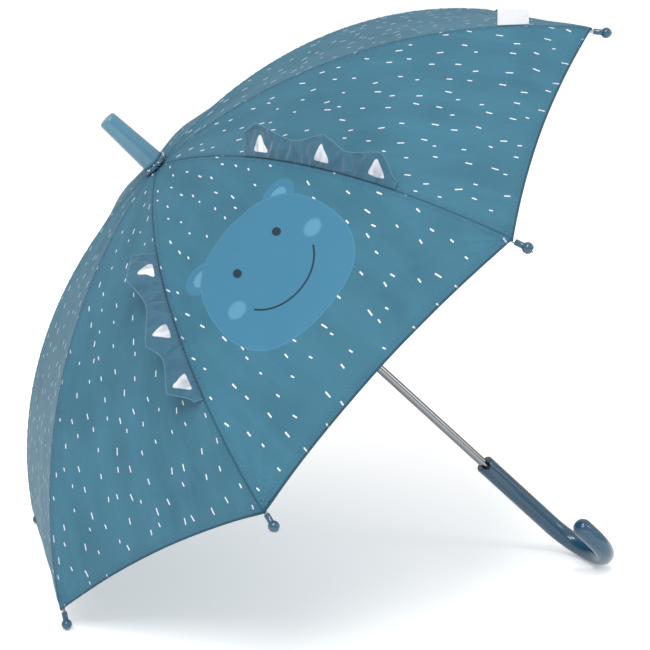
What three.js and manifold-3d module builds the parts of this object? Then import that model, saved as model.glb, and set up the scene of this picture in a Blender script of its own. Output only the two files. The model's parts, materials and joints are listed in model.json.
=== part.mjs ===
// Children's stick umbrella, open and lying on the floor on two rib tips and its crook.
// Millimetres. Every piece is drawn in the shaft's own frame: the shaft runs along Z, the ferrule
// is at the top, and the rib tips lie in the plane z = 0. The last lines lean that frame over.
import * as THREE from 'three';
import { mergeVertices } from 'three/addons/utils/BufferGeometryUtils.js';
import Module from 'manifold-3d';

const wasm = await Module();
wasm.setup();

// Driving dimensions
const RIB_COUNT = 8;
const SHAFT_LEAN = 41.41;          // degrees between shaft and floor, where tips and crook all touch
const DOME_CENTRE_Z = -281;        // ribs are arcs about a point on the shaft's axis
const RIB_ARC = 447.4;             // arc radius of a rib's centre line
const RIB_DEPTH = 2.2;
const RIB_WIDTH = 2.0;
const PIVOT_RADIUS = 9;            // hinge wires of notch and runner
const WIRE_RADIUS = 0.5;
const JOINT_CHORD = 165;           // straight distance from a rib's pivot to its stretcher joint
const RUNNER_Z = 20;               // height of the runner's pivots when open
const CANOPY_ARC = 449.4;          // arc radius of the canopy's inner face along a rib
const CANOPY_THICKNESS = 1.0;
const HEM_REACH = 343;             // radius of the hem at a rib
const HEM_SCALLOP = 9;             // how far the hem curves in between two ribs
const TIP_BALL_RADIUS = 4.3;
const SHAFT_RADIUS = 4;
const SHAFT_BORE = 3.3;
const SHAFT_TOP = 213;
const SHAFT_BOTTOM = -330;
const FERRULE_TOP = 228;
const HANDLE_TOP = -239;
const HANDLE_RADIUS = 8.6;
const HOOK_START = -330.75;        // where the straight grip turns into the crook
const HOOK_RADIUS = 37.5;
const HOOK_END = 11.8;             // straight length after the half turn
const HOOK_AZIMUTH = 102.9;        // degrees round the shaft, like every azimuth
const BORE_RADIUS = 4.5;
const BORE_DEPTH = 92;
const MOUTH_NOTCH_WIDTH = 7;
const MOUTH_NOTCH_DEPTH = 4;
const FIN_START = 134;             // radius where a fin strip begins along its rib
const FIN_END = 270;
const FIN_LEAN = 45;               // degrees the fins lean from upright, away from the face panel
const FIN_FOOT = 2.6;              // height of a fin's base over the canopy's arc
const FIN_THICKNESS = 4;
const FIN_EDGE_THICKNESS = 1.5;
// Outline of a fin strip: share of its length, height above its foot
const FIN_OUTLINE = [[0, 17], [0.12, 24], [0.36, 14], [0.58, 23], [0.71, 14.5], [0.905, 21], [1, 5]];
const LABEL_WIDTH = 25;
const LABEL_HEIGHT = 13;
const LABEL_THICKNESS = 0.9;
const LABEL_REACH = 298;           // how far from the shaft the label stands
const STRAP_WIDTH = 14;
const STRAP_LENGTH = 110;
const STRAP_THICKNESS = 1;
const STRAP_HEIGHT = 16;           // height of the strap's upper end over the plane of the tips
const PRESS_STUD_RADIUS = 5;
const CATCH_WIDTH = 1.2;
const CATCH_LENGTH = 24;
const CATCH_REACH = 6.2;           // how far a catch's nose stands from the shaft's axis
const CATCH_AZIMUTH = -90;         // the side away from the face panel
const TOP_CATCH_Z = -20.6;         // flat of the catch that holds the open runner
const LOW_CATCH_Z = -217.5;        // flat of the catch that holds the closed runner
const GAP = 0.3;                   // between pieces that touch

const rad = THREE.MathUtils.degToRad;
const HALF_PANEL = Math.PI / RIB_COUNT;
const ribAzimuth = (number) => rad(22.5 + (number - 1) * 45);
const archHeight = (arc, reach) => DOME_CENTRE_Z + Math.sqrt(arc * arc - reach * reach);
const PIVOT_Z = archHeight(RIB_ARC, PIVOT_RADIUS);
const PIVOT_TURN = Math.asin(PIVOT_RADIUS / RIB_ARC);
const JOINT_TURN = PIVOT_TURN + 2 * Math.asin(JOINT_CHORD / (2 * RIB_ARC));
const BALL_TURN = Math.acos(-DOME_CENTRE_Z / RIB_ARC);
const onArc = (arc, turn) =>
  new THREE.Vector2(arc * Math.sin(turn), DOME_CENTRE_Z + arc * Math.cos(turn));

const paint = (color, roughness, metalness) =>
  new THREE.MeshStandardMaterial({ color, roughness, metalness });
const steel = () => paint(0xc9ccd0, 0.2, 1);
const springSteel = () => paint(0x8f9499, 0.35, 1);
const nylon = () => paint(0xe6e6e2, 0.5, 0);
const bluePlastic = () => paint(0x3e6580, 0.2, 0);
const palePlastic = () => paint(0x5b8fae, 0.2, 0);
const cloth = () => paint(0x4a8099, 0.8, 0);
const finCloth = () => paint(0x456e85, 0.85, 0);
const whiteCloth = () => paint(0xf0eef0, 0.85, 0);

const umbrella = new THREE.Group();

function add(name, geometry, material, azimuth = 0) {
  const mesh = new THREE.Mesh(geometry, material);
  mesh.name = name;
  mesh.rotation.z = azimuth;
  umbrella.add(mesh);
  return mesh;
}

// A geometry with one vertex to a corner
const MERGE_DISTANCE = 1e-4;
function merge(geometry) {
  const bare = geometry.clone();
  bare.deleteAttribute('normal');
  bare.deleteAttribute('uv');
  return mergeVertices(bare, MERGE_DISTANCE);
}

// Solids from closed meshes, for cuts and joins
function solid(geometry) {
  const merged = merge(geometry);
  return new wasm.Manifold(new wasm.Mesh({
    numProp: 3,
    vertProperties: new Float32Array(merged.attributes.position.array),
    triVerts: new Uint32Array(merged.index.array),
  }));
}

function geometryOf(manifold) {
  const mesh = manifold.getMesh();
  const geometry = new THREE.BufferGeometry();
  geometry.setAttribute('position', new THREE.BufferAttribute(new Float32Array(mesh.vertProperties), 3));
  geometry.setIndex(new THREE.BufferAttribute(new Uint32Array(mesh.triVerts), 1));
  return geometry;
}

const cut = (body, ...tools) =>
  geometryOf(tools.reduce((left, tool) => left.subtract(solid(tool)), solid(body)));
const join = (...bodies) => geometryOf(bodies.map(solid).reduce((whole, next) => whole.add(next)));

// A turned piece about Z, from points [radius, height] that close on themselves or end on the axis
function turned(points, sides = 16) {
  const profile = points.map(([radius, height]) => new THREE.Vector2(radius, height));
  return new THREE.LatheGeometry(profile, sides).rotateX(Math.PI / 2);
}

// A flat piece standing in a plane through the shaft: its shape's x is radius and its y is height
function upright(shape, width) {
  const geometry = new THREE.ExtrudeGeometry(shape, { depth: width, bevelEnabled: false });
  return geometry.translate(0, 0, -width / 2).rotateX(Math.PI / 2);
}

// Points along an arc, and a round hole
const arcPoints = (x, y, radius, from, to, steps) => Array.from({ length: steps + 1 }, (_, k) => {
  const turn = THREE.MathUtils.lerp(from, to, k / steps);
  return new THREE.Vector2(x + radius * Math.cos(turn), y + radius * Math.sin(turn));
});
const roundHole = (x, y, radius, sides) =>
  new THREE.Path(arcPoints(x, y, radius, 0, 2 * Math.PI * (1 - 1 / sides), sides - 1));

const block = (x0, x1, y, z0, z1) =>
  new THREE.BoxGeometry(x1 - x0, 2 * y, z1 - z0).translate((x0 + x1) / 2, 0, (z0 + z1) / 2);

const slots = (inner, outer, halfWidth, low, high) => Array.from({ length: RIB_COUNT }, (_, k) =>
  block(inner, outer, halfWidth, low, high).rotateZ(ribAzimuth(k + 1)));

const wireRing = (height) =>
  new THREE.TorusGeometry(PIVOT_RADIUS, WIRE_RADIUS, 4, 24).translate(0, 0, height);

// A closed shell from a grid: place(u, v, side) gives the point, side 0 below and 1 above
function shell(place, columns, rows) {
  const positions = [];
  const index = [];
  const stride = (columns + 1) * (rows + 1);
  for (let side = 0; side < 2; side += 1) {
    for (let row = 0; row <= rows; row += 1) {
      for (let column = 0; column <= columns; column += 1) {
        positions.push(...place(column / columns, row / rows, side).toArray());
      }
    }
  }
  const at = (column, row, side) => side * stride + row * (columns + 1) + column;
  const quad = (a, b, c, d) => index.push(a, b, c, a, c, d);
  for (let row = 0; row < rows; row += 1) {
    for (let column = 0; column < columns; column += 1) {
      quad(at(column, row, 1), at(column + 1, row, 1), at(column + 1, row + 1, 1), at(column, row + 1, 1));
      quad(at(column, row, 0), at(column, row + 1, 0), at(column + 1, row + 1, 0), at(column + 1, row, 0));
    }
  }
  for (let column = 0; column < columns; column += 1) {
    quad(at(column, 0, 0), at(column + 1, 0, 0), at(column + 1, 0, 1), at(column, 0, 1));
    quad(at(column + 1, rows, 0), at(column, rows, 0), at(column, rows, 1), at(column + 1, rows, 1));
  }
  for (let row = 0; row < rows; row += 1) {
    quad(at(0, row + 1, 0), at(0, row, 0), at(0, row, 1), at(0, row + 1, 1));
    quad(at(columns, row, 0), at(columns, row + 1, 0), at(columns, row + 1, 1), at(columns, row, 1));
  }
  const geometry = new THREE.BufferGeometry();
  geometry.setAttribute('position', new THREE.Float32BufferAttribute(positions, 3));
  geometry.setIndex(index);
  return facingOut(geometry);
}

function facingOut(geometry) {
  const { position } = geometry.attributes;
  const corners = [0, 1, 2].map(() => new THREE.Vector3());
  let volume = 0;
  for (let i = 0; i < geometry.index.count; i += 3) {
    corners.forEach((corner, k) => corner.fromBufferAttribute(position, geometry.index.getX(i + k)));
    volume += corners[0].dot(corners[1].clone().cross(corners[2]));
  }
  if (volume < 0) {
    geometry.index.array.reverse();
  }
  return geometry;
}

// Shaft: a steel tube with a slot for each spring catch
const catchSlot = (low, high) =>
  block(0, SHAFT_RADIUS + 2, CATCH_WIDTH / 2 + GAP, low, high).rotateZ(rad(CATCH_AZIMUTH));
const tube = turned([
  [SHAFT_BORE, SHAFT_BOTTOM], [SHAFT_RADIUS, SHAFT_BOTTOM], [SHAFT_RADIUS, SHAFT_TOP],
  [SHAFT_BORE, SHAFT_TOP], [SHAFT_BORE, SHAFT_BOTTOM],
]);
add('shaft', cut(
  tube,
  catchSlot(TOP_CATCH_Z - CATCH_LENGTH, TOP_CATCH_Z + GAP),
  catchSlot(LOW_CATCH_Z - GAP, LOW_CATCH_Z + CATCH_LENGTH),
), steel());

// Spring catches: leaves in the tube whose noses stand out through the slots
function catchLeaf(direction) {
  const leaf = new THREE.Shape();
  leaf.moveTo(-1.5, 0);
  leaf.lineTo(CATCH_REACH, 0);
  leaf.lineTo(CATCH_REACH, -2 * direction);
  leaf.lineTo(3.0, -16 * direction);
  leaf.lineTo(1.0, -CATCH_LENGTH * direction);
  leaf.lineTo(-1.0, -CATCH_LENGTH * direction);
  return facingOut(merge(upright(leaf, CATCH_WIDTH)));
}

add('top_catch', catchLeaf(1).translate(0, 0, TOP_CATCH_Z), springSteel(), rad(CATCH_AZIMUTH));
add('bottom_catch', catchLeaf(-1).translate(0, 0, LOW_CATCH_Z), springSteel(), rad(CATCH_AZIMUTH));

// Ferrule: a hollow tapered cap over the shaft's end, with a thin neck inside the rosette
add('ferrule', turned([
  [4.3, 170.8], [7.6, 170.8], [7.6, 175.2], [10, 175.6], [7.9, 226.4], [6.6, FERRULE_TOP],
  [0, FERRULE_TOP], [0, 214], [4.3, 214], [4.3, 170.8],
]), palePlastic());

// Rosette: the gathered cloth ring between ferrule and canopy
add('rosette', new THREE.TorusGeometry(10.3, 2.1, 6, 20).translate(0, 0, 172.6), finCloth());

// Top notch: the slotted disc that holds the inner ends of the ribs on a wire
const notchBody = turned([
  [4.3, 161.5], [8, 161.5], [11.5, 163], [11.5, 165.4], [8.2, 165.4], [8.2, 167.1], [11.5, 167.1],
  [11.5, 167.9], [4.3, 167.9], [4.3, 161.5],
]);
add('top_notch', cut(notchBody, ...slots(6.8, 13, 1.4, 161, 169)), nylon());
add('notch_wire', wireRing(PIVOT_Z), steel());

// Runner: the sleeve that slides on the shaft, with a slotted crown for the stretchers
const runnerBody = turned([
  [4.35, -40], [7.4, -40], [7.4, -37], [6.4, -36], [6.4, -6], [11.5, -4], [11.5, -1], [8.2, -1],
  [8.2, 1], [11.5, 1], [11.5, 4], [6.8, 5], [6.8, 8], [4.35, 8], [4.35, -40],
]);
const runnerWindow = block(4, 9, 1.6, -34.6, -23).rotateZ(rad(CATCH_AZIMUTH));
const runner = cut(runnerBody, runnerWindow, ...slots(6.9, 13, 1.5, -7, 6));
add('runner', runner.translate(0, 0, RUNNER_Z), nylon());
add('runner_wire', wireRing(RUNNER_Z), steel());

// Ribs: arched steel with an eye at the notch wire and a hole for the stretcher's rivet
function ribShape() {
  const top = RIB_ARC + RIB_DEPTH / 2;
  const bottom = RIB_ARC - RIB_DEPTH / 2;
  const start = Math.PI / 2 - Math.asin((PIVOT_RADIUS + 1.4) / RIB_ARC);
  const end = Math.PI / 2 - BALL_TURN + 4.6 / RIB_ARC;
  const joint = onArc(RIB_ARC, JOINT_TURN);
  const shape = new THREE.Shape([
    ...arcPoints(0, DOME_CENTRE_Z, top, start, end, 14),
    ...arcPoints(0, DOME_CENTRE_Z, bottom, end, start, 14),
    ...arcPoints(PIVOT_RADIUS, PIVOT_Z, 1.9, rad(-45), rad(-315), 6),
  ]);
  shape.holes.push(roundHole(PIVOT_RADIUS, PIVOT_Z, 1.0, 6), roundHole(joint.x, joint.y, 0.78, 6));
  return shape;
}

// Rib tips: a ball on a short socket that caps the rib and takes the canopy's corner
function ribTip() {
  const ball = Array.from({ length: 6 }, (_, k) => {
    const turn = rad(-58 + k * 148 / 5);
    return [TIP_BALL_RADIUS * Math.cos(turn), TIP_BALL_RADIUS * Math.sin(turn)];
  });
  ball[5] = [0, TIP_BALL_RADIUS];
  const tip = turned([
    [1.7, -10.2], [2.3, -10.2], [2.3, -3.7], ...ball, [0, -4.2], [1.7, -4.2], [1.7, -10.2],
  ], 8);
  const end = onArc(RIB_ARC, BALL_TURN);
  return tip.rotateY(Math.PI / 2 + BALL_TURN - 0.008).translate(end.x, 0, end.y);
}

// Stretchers: a bar whose fork straddles the rib; its inner end lies in the runner's slot
function stretcher() {
  const joint = onArc(RIB_ARC, JOINT_TURN);
  const length = joint.distanceTo(new THREE.Vector2(PIVOT_RADIUS, RUNNER_Z));
  const slope = Math.atan2(RUNNER_Z - joint.y, PIVOT_RADIUS - joint.x);
  const roundEnd = arcPoints(0, 0, 1.2, rad(90), rad(270), 4);
  const cheek = new THREE.Shape([...roundEnd, new THREE.Vector2(15, -1.2), new THREE.Vector2(15, 1.2)]);
  const cheeks = [-1.8, 1.8].map((side) => upright(cheek, 0.8).translate(0, side, 0));
  const bridge = block(10.5, 15, 2.2, -1.2, 1.2);
  const bar = block(14, length - 1.3, 1, -1.1, 1.1);
  const rivet = new THREE.CylinderGeometry(0.42, 0.42, 4.4, 6);
  return join(...cheeks, bridge, bar, rivet).rotateY(-slope).translate(joint.x, 0, joint.y);
}

for (let number = 1; number <= RIB_COUNT; number += 1) {
  const azimuth = ribAzimuth(number);
  add(`rib_${number}`, upright(ribShape(), RIB_WIDTH), springSteel(), azimuth);
  add(`rib_tip_${number}`, ribTip(), bluePlastic(), azimuth);
  add(`stretcher_${number}`, stretcher(), springSteel(), azimuth);
}

// Canopy: eight panels, each made of the half sewn to one rib and the half sewn to the next.
// Along a rib the cloth follows the arc; across a panel it is drawn straight from rib to rib.
function halfPanel(side) {
  const hemTurn = Math.asin(HEM_REACH / (CANOPY_ARC + CANOPY_THICKNESS));
  return shell((across, along, face) => {
    const arc = CANOPY_ARC + face * CANOPY_THICKNESS;
    const scallop = HEM_SCALLOP / arc * (1 - (1 - across) ** 2);
    const turn = THREE.MathUtils.lerp(0.0145, hemTurn - scallop, along);
    const reach = arc * Math.sin(turn);
    const seam = 0.25 / reach;
    const fold = HALF_PANEL - 0.2 / reach;
    const share = THREE.MathUtils.lerp(Math.tan(seam), Math.tan(fold), across) * Math.cos(HALF_PANEL);
    const outward = reach * (1 - share * Math.sin(HALF_PANEL));
    const sideways = reach * share * Math.cos(HALF_PANEL);
    return new THREE.Vector3(outward, side * sideways, archHeight(arc, reach));
  }, 2, 9);
}

for (let number = 1; number <= RIB_COUNT; number += 1) {
  const next = number % RIB_COUNT + 1;
  add(`panel_${number}_a`, halfPanel(1), cloth(), ribAzimuth(number));
  add(`panel_${number}_b`, halfPanel(-1), cloth(), ribAzimuth(next));
}

// Fins: padded strips with three peaks, sewn into the seams on both sides of the face panel.
// Their top edge swings smoothly from one point of the outline to the next.
function finHeight(along) {
  const next = Math.max(1, FIN_OUTLINE.findIndex(([share]) => share >= along));
  const [[from, low], [to, high]] = [FIN_OUTLINE[next - 1], FIN_OUTLINE[next]];
  const swing = 0.5 - 0.5 * Math.cos(Math.PI * (along - from) / (to - from));
  return THREE.MathUtils.lerp(low, high, swing);
}

function finStrip(side) {
  const arc = CANOPY_ARC + CANOPY_THICKNESS;
  const first = Math.asin(FIN_START / arc);
  const last = Math.asin(FIN_END / arc);
  const lean = rad(FIN_LEAN) * side;
  return shell((along, up, face) => {
    const turn = THREE.MathUtils.lerp(first, last, along);
    const normal = new THREE.Vector3(Math.sin(turn), 0, Math.cos(turn));
    const sideways = new THREE.Vector3(0, 1, 0);
    const rise = normal.clone().multiplyScalar(Math.cos(lean)).addScaledVector(sideways, Math.sin(lean));
    const through = sideways.multiplyScalar(Math.cos(lean)).addScaledVector(normal, -Math.sin(lean));
    const height = FIN_FOOT + up * finHeight(along);
    const point = normal.multiplyScalar(arc).addScaledVector(rise, height);
    const thickness = THREE.MathUtils.lerp(FIN_THICKNESS, FIN_EDGE_THICKNESS, up);
    point.addScaledVector(through, (face - 0.5) * thickness);
    return point.add(new THREE.Vector3(0, 0, DOME_CENTRE_Z));
  }, 20, 1);
}

add('fin_strip_2', finStrip(-1), finCloth(), ribAzimuth(2));
add('fin_strip_3', finStrip(1), finCloth(), ribAzimuth(3));

// Label: a small folded tape standing out of the fourth rib's seam, left blank
const labelTurn = Math.asin(LABEL_REACH / CANOPY_ARC);
const labelRise = 0.7 + LABEL_HEIGHT / 2;
const label = new THREE.BoxGeometry(LABEL_WIDTH, LABEL_THICKNESS, LABEL_HEIGHT).rotateY(labelTurn);
const labelAt = onArc(CANOPY_ARC + CANOPY_THICKNESS + labelRise, labelTurn);
add('label', label.translate(labelAt.x, 0, labelAt.y), whiteCloth(), ribAzimuth(4));

// Tie strap: hangs from the middle of the hem opposite the face, with a press stud at its end
const hemReach = (HEM_REACH - 6) * Math.cos(HALF_PANEL) + 1.9;
const strapTop = new THREE.Vector3(0, -hemReach, STRAP_HEIGHT);
const down = new THREE.Vector3(Math.cos(rad(SHAFT_LEAN)), 0, -Math.sin(rad(SHAFT_LEAN)));
function onStrap(geometry, distance, outward) {
  geometry.rotateY(Math.atan2(down.x, down.z));
  const place = strapTop.clone().addScaledVector(down, distance);
  return geometry.translate(place.x, place.y - outward, place.z);
}
const strap = new THREE.BoxGeometry(STRAP_WIDTH, STRAP_THICKNESS, STRAP_LENGTH);
add('tie_strap', onStrap(strap, STRAP_LENGTH / 2, 0), cloth());
const stud = (thickness) =>
  new THREE.CylinderGeometry(PRESS_STUD_RADIUS, PRESS_STUD_RADIUS, thickness, 16);
add('snap_socket', onStrap(stud(2), STRAP_LENGTH - 9, 1.8), steel());
add('snap_stud', onStrap(stud(1.6), 30, 1.6), steel());

// Handle: a moulded crook, bored for the shaft and notched at its mouth
const crook = new THREE.CurvePath();
crook.add(new THREE.LineCurve3(new THREE.Vector3(0, 0, HANDLE_TOP), new THREE.Vector3(0, 0, HOOK_START)));
class HalfTurn extends THREE.Curve {
  getPoint(t, target = new THREE.Vector3()) {
    const turn = Math.PI * t;
    const away = HOOK_RADIUS * (1 - Math.cos(turn));
    return target.set(away, 0, HOOK_START - HOOK_RADIUS * Math.sin(turn));
  }
}
crook.add(new HalfTurn());
const hookTip = new THREE.Vector3(2 * HOOK_RADIUS, 0, HOOK_START + HOOK_END);
crook.add(new THREE.LineCurve3(new THREE.Vector3(2 * HOOK_RADIUS, 0, HOOK_START), hookTip));
const section = new THREE.Shape(arcPoints(0, 0, HANDLE_RADIUS, 0, rad(330), 11));
const grip = new THREE.ExtrudeGeometry(section, { steps: 26, extrudePath: crook });
const endCap = new THREE.SphereGeometry(HANDLE_RADIUS * 0.985, 12, 6).translate(...hookTip.toArray());
const boreLength = BORE_DEPTH + 4;
const bore = new THREE.CylinderGeometry(BORE_RADIUS, BORE_RADIUS, boreLength, 14).rotateX(Math.PI / 2);
bore.translate(0, 0, HANDLE_TOP + 4 - boreLength / 2);
const mouthNotch = new THREE.BoxGeometry(MOUTH_NOTCH_WIDTH, 4 * HANDLE_RADIUS, 2 * MOUTH_NOTCH_DEPTH);
mouthNotch.rotateZ(rad(-HOOK_AZIMUTH)).translate(0, 0, HANDLE_TOP);
const handleSolid = solid(grip).add(solid(endCap)).subtract(solid(bore)).subtract(solid(mouthNotch));
add('handle', geometryOf(handleSolid), bluePlastic(), rad(HOOK_AZIMUTH));

// The shaft's frame leans over: Z to the ferrule, X (azimuth 0) towards the floor
const lean = rad(SHAFT_LEAN);
const leaning = new THREE.Matrix4().makeBasis(
  new THREE.Vector3(-Math.sin(lean), 0, -Math.cos(lean)),
  new THREE.Vector3(0, -1, 0),
  new THREE.Vector3(-Math.cos(lean), 0, Math.sin(lean)),
);
umbrella.setRotationFromMatrix(leaning);
umbrella.updateMatrixWorld(true);
const box = new THREE.Box3().setFromObject(umbrella, true);
umbrella.position.set(-(box.min.x + box.max.x) / 2, -(box.min.y + box.max.y) / 2, -box.min.z);

export default umbrella;
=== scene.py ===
import json
from math import acos, asin, cos, hypot, pi, radians, sin

import bmesh
import bpy
import numpy as np
from mathutils import Matrix, Vector


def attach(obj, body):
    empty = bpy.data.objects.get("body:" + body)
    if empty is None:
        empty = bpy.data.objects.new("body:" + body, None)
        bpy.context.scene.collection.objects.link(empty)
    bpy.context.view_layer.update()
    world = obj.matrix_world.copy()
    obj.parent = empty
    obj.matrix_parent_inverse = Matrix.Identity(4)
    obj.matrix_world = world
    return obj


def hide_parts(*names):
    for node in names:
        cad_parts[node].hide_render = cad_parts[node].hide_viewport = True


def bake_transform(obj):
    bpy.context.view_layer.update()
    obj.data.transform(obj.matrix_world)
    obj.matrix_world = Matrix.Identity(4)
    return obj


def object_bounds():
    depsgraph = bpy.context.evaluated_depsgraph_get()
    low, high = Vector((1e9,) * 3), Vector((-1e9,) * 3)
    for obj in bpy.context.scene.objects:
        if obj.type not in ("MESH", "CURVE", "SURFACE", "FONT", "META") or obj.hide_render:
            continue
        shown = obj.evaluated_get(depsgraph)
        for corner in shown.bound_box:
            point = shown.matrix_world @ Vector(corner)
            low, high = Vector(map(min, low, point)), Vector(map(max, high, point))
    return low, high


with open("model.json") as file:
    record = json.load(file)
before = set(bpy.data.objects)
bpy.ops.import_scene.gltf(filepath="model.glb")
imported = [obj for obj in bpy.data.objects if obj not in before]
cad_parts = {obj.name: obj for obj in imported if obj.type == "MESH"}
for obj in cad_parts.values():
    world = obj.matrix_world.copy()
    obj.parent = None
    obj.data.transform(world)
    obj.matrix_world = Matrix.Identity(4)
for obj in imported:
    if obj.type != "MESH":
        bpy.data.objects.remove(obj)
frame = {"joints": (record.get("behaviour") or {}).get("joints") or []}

cad_low, cad_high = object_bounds()
scene = bpy.context.scene
scene.view_settings.view_transform = "Standard"


# The room: a plain pale floor, which isn't part of the umbrella, seen from the side of the
# smiling panel. Its finish needs the first tools for mixing colours and patterns.
def linear(hex_colour):
    """A screen colour such as "4A8099" as the light values that shaders take."""
    screen = [int(hex_colour[k:k + 2], 16) / 255 for k in (0, 2, 4)]
    return tuple(c / 12.92 if c <= 0.04045 else ((c + 0.055) / 1.055) ** 2.4 for c in screen) + (1.0,)


class Reading:
    """A number that varies over a surface. Sums with it become nodes of its finish."""

    def __init__(self, tree, socket):
        self.tree, self.socket = tree, socket

    def combine(self, operation, *others):
        node = self.tree.nodes.new("ShaderNodeMath")
        node.operation = operation
        for slot, value in zip(node.inputs, (self, *others)):
            if isinstance(value, Reading):
                self.tree.links.new(value.socket, slot)
            else:
                slot.default_value = value
        return Reading(self.tree, node.outputs[0])

    def __add__(self, other):
        return self.combine("ADD", other)

    def __sub__(self, other):
        return self.combine("SUBTRACT", other)

    def __mul__(self, other):
        return self.combine("MULTIPLY", other)

    def __truediv__(self, other):
        return self.combine("DIVIDE", other)

    def __pow__(self, other):
        return self.combine("POWER", other)

    def __neg__(self):
        return self * -1.0

    def __abs__(self):
        return self.combine("ABSOLUTE")

    def below(self, edge, softness):
        """1 where the reading is under edge, 0 where it is over."""
        node = self.tree.nodes.new("ShaderNodeMapRange")
        node.interpolation_type = "SMOOTHSTEP"
        self.tree.links.new(self.socket, node.inputs["Value"])
        node.inputs["From Min"].default_value = edge - softness
        node.inputs["From Max"].default_value = edge + softness
        node.inputs["To Min"].default_value = 1.0
        node.inputs["To Max"].default_value = 0.0
        return Reading(self.tree, node.outputs["Result"])

    def spread(self, low, high):
        """Takes a reading of 0 to 1 to low to high."""
        return self * (high - low) + low


class Finish:
    """A material whose colour, roughness and relief are drawn by nodes."""

    def __init__(self, name, colour, roughness, metallic=0.0, constants=None):
        self.material = bpy.data.materials.new(name)
        self.material.use_nodes = True
        self.tree = self.material.node_tree
        self.shader = self.tree.nodes["Principled BSDF"]
        self.shader.inputs["Base Color"].default_value = linear(colour)
        self.shader.inputs["Roughness"].default_value = roughness
        self.shader.inputs["Metallic"].default_value = metallic
        for socket, value in (constants or {}).items():
            self.shader.inputs[socket].default_value = value
        self.colour = linear(colour)

    def node(self, kind, inputs=None, **settings):
        made = self.tree.nodes.new("ShaderNode" + kind)
        for setting, value in settings.items():
            setattr(made, setting, value)
        for socket, value in (inputs or {}).items():
            if isinstance(value, Reading):
                value = value.socket
            if isinstance(value, bpy.types.NodeSocket):
                self.tree.links.new(value, made.inputs[socket])
            else:
                made.inputs[socket].default_value = value
        return made

    def own_place(self):
        return self.node("TexCoord").outputs["Object"]

    def map_place(self, name):
        return self.node("UVMap", uv_map=name).outputs["UV"]

    def stretched(self, place, scale, turn=0.0):
        inputs = {"Vector": place, "Scale": scale, "Rotation": (0, 0, turn)}
        return self.node("Mapping", inputs).outputs["Vector"]

    def speckle(self, place, scale, detail=2.0, roughness=0.5):
        made = self.node("TexNoise", {"Vector": place, "Scale": scale, "Detail": detail,
                                      "Roughness": roughness})
        return Reading(self.tree, made.outputs["Fac"])

    def axes(self, place):
        parts = self.node("SeparateXYZ", {"Vector": place})
        return [Reading(self.tree, parts.outputs[axis]) for axis in "XYZ"]

    def tint(self, share, colour):
        """Lays colour over what is there already, where share is above 0."""
        mixed = self.node("Mix", data_type="RGBA")
        self.tree.links.new(share.socket, mixed.inputs[0])
        if isinstance(self.colour, bpy.types.NodeSocket):
            self.tree.links.new(self.colour, mixed.inputs[6])
        else:
            mixed.inputs[6].default_value = self.colour
        mixed.inputs[7].default_value = linear(colour)
        self.colour = mixed.outputs[2]
        self.tree.links.new(self.colour, self.shader.inputs["Base Color"])

    def gloss(self, reading):
        self.tree.links.new(reading.socket, self.shader.inputs["Roughness"])

    def relief(self, *layers):
        """layers are (height reading, distance in metres), the coarsest first."""
        normal = None
        for height, distance in layers:
            bump = self.node("Bump", {"Height": height, "Distance": distance, "Strength": 1.0})
            if normal is not None:
                self.tree.links.new(normal, bump.inputs["Normal"])
            normal = bump.outputs["Normal"]
        self.tree.links.new(normal, self.shader.inputs["Normal"])


def put_in_scene(name, data):
    made = bpy.data.objects.new(name, data)
    scene.collection.objects.link(made)
    return made


FLOOR_HALF_SIDE = 14.0
floor_mesh = bpy.data.meshes.new("floor")
floor_mesh.from_pydata(
    [(x * FLOOR_HALF_SIDE, y * FLOOR_HALF_SIDE, cad_low.z) for x, y in ((-1, -1), (1, -1), (1, 1), (-1, 1))],
    [], [(0, 1, 2, 3)])
floor = put_in_scene("floor", floor_mesh)
floor_paint = Finish("floor_paint", "FCFCFC", 0.85, constants={
    "Emission Color": (1.0, 1.0, 1.0, 1.0), "Emission Strength": 0.3})
floor_paint.tint(floor_paint.speckle(floor_paint.own_place(), 3.0).spread(0.0, 0.25), "F8F8F7")
floor_mesh.materials.append(floor_paint.material)

world = bpy.data.worlds.new("daylight")
world.use_nodes = True
sky = world.node_tree
background = sky.nodes["Background"]
background.inputs["Strength"].default_value = 0.8
sky_place = sky.nodes.new("ShaderNodeTexCoord")
sky_height = sky.nodes.new("ShaderNodeSeparateXYZ")
sky_shade = sky.nodes.new("ShaderNodeMapRange")
sky.links.new(sky_place.outputs["Generated"], sky_height.inputs[0])
sky.links.new(sky_height.outputs["Z"], sky_shade.inputs["Value"])
sky_shade.inputs["From Min"].default_value, sky_shade.inputs["From Max"].default_value = -0.05, 0.75
sky_shade.inputs["To Min"].default_value, sky_shade.inputs["To Max"].default_value = 0.62, 1.05
sky.links.new(sky_shade.outputs["Result"], background.inputs["Color"])
scene.world = world


def soft_light(name, at, aim, side, power):
    lamp = bpy.data.lights.new(name, "AREA")
    lamp.shape, lamp.size, lamp.energy = "SQUARE", side, power
    light = put_in_scene(name, lamp)
    light.location = at
    light.rotation_euler = (Vector(aim) - Vector(at)).to_track_quat("-Z", "Y").to_euler()


soft_light("strip", (-0.2, -1.0, 2.4), (0.0, 0.0, 0.2), 0.35, 14.0)
soft_light("key", (-1.2, -2.2, 2.6), (0.0, 0.0, 0.2), 1.3, 58.0)
soft_light("side", (2.4, -1.4, 1.5), (0.1, 0.0, 0.2), 1.2, 12.0)

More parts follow.
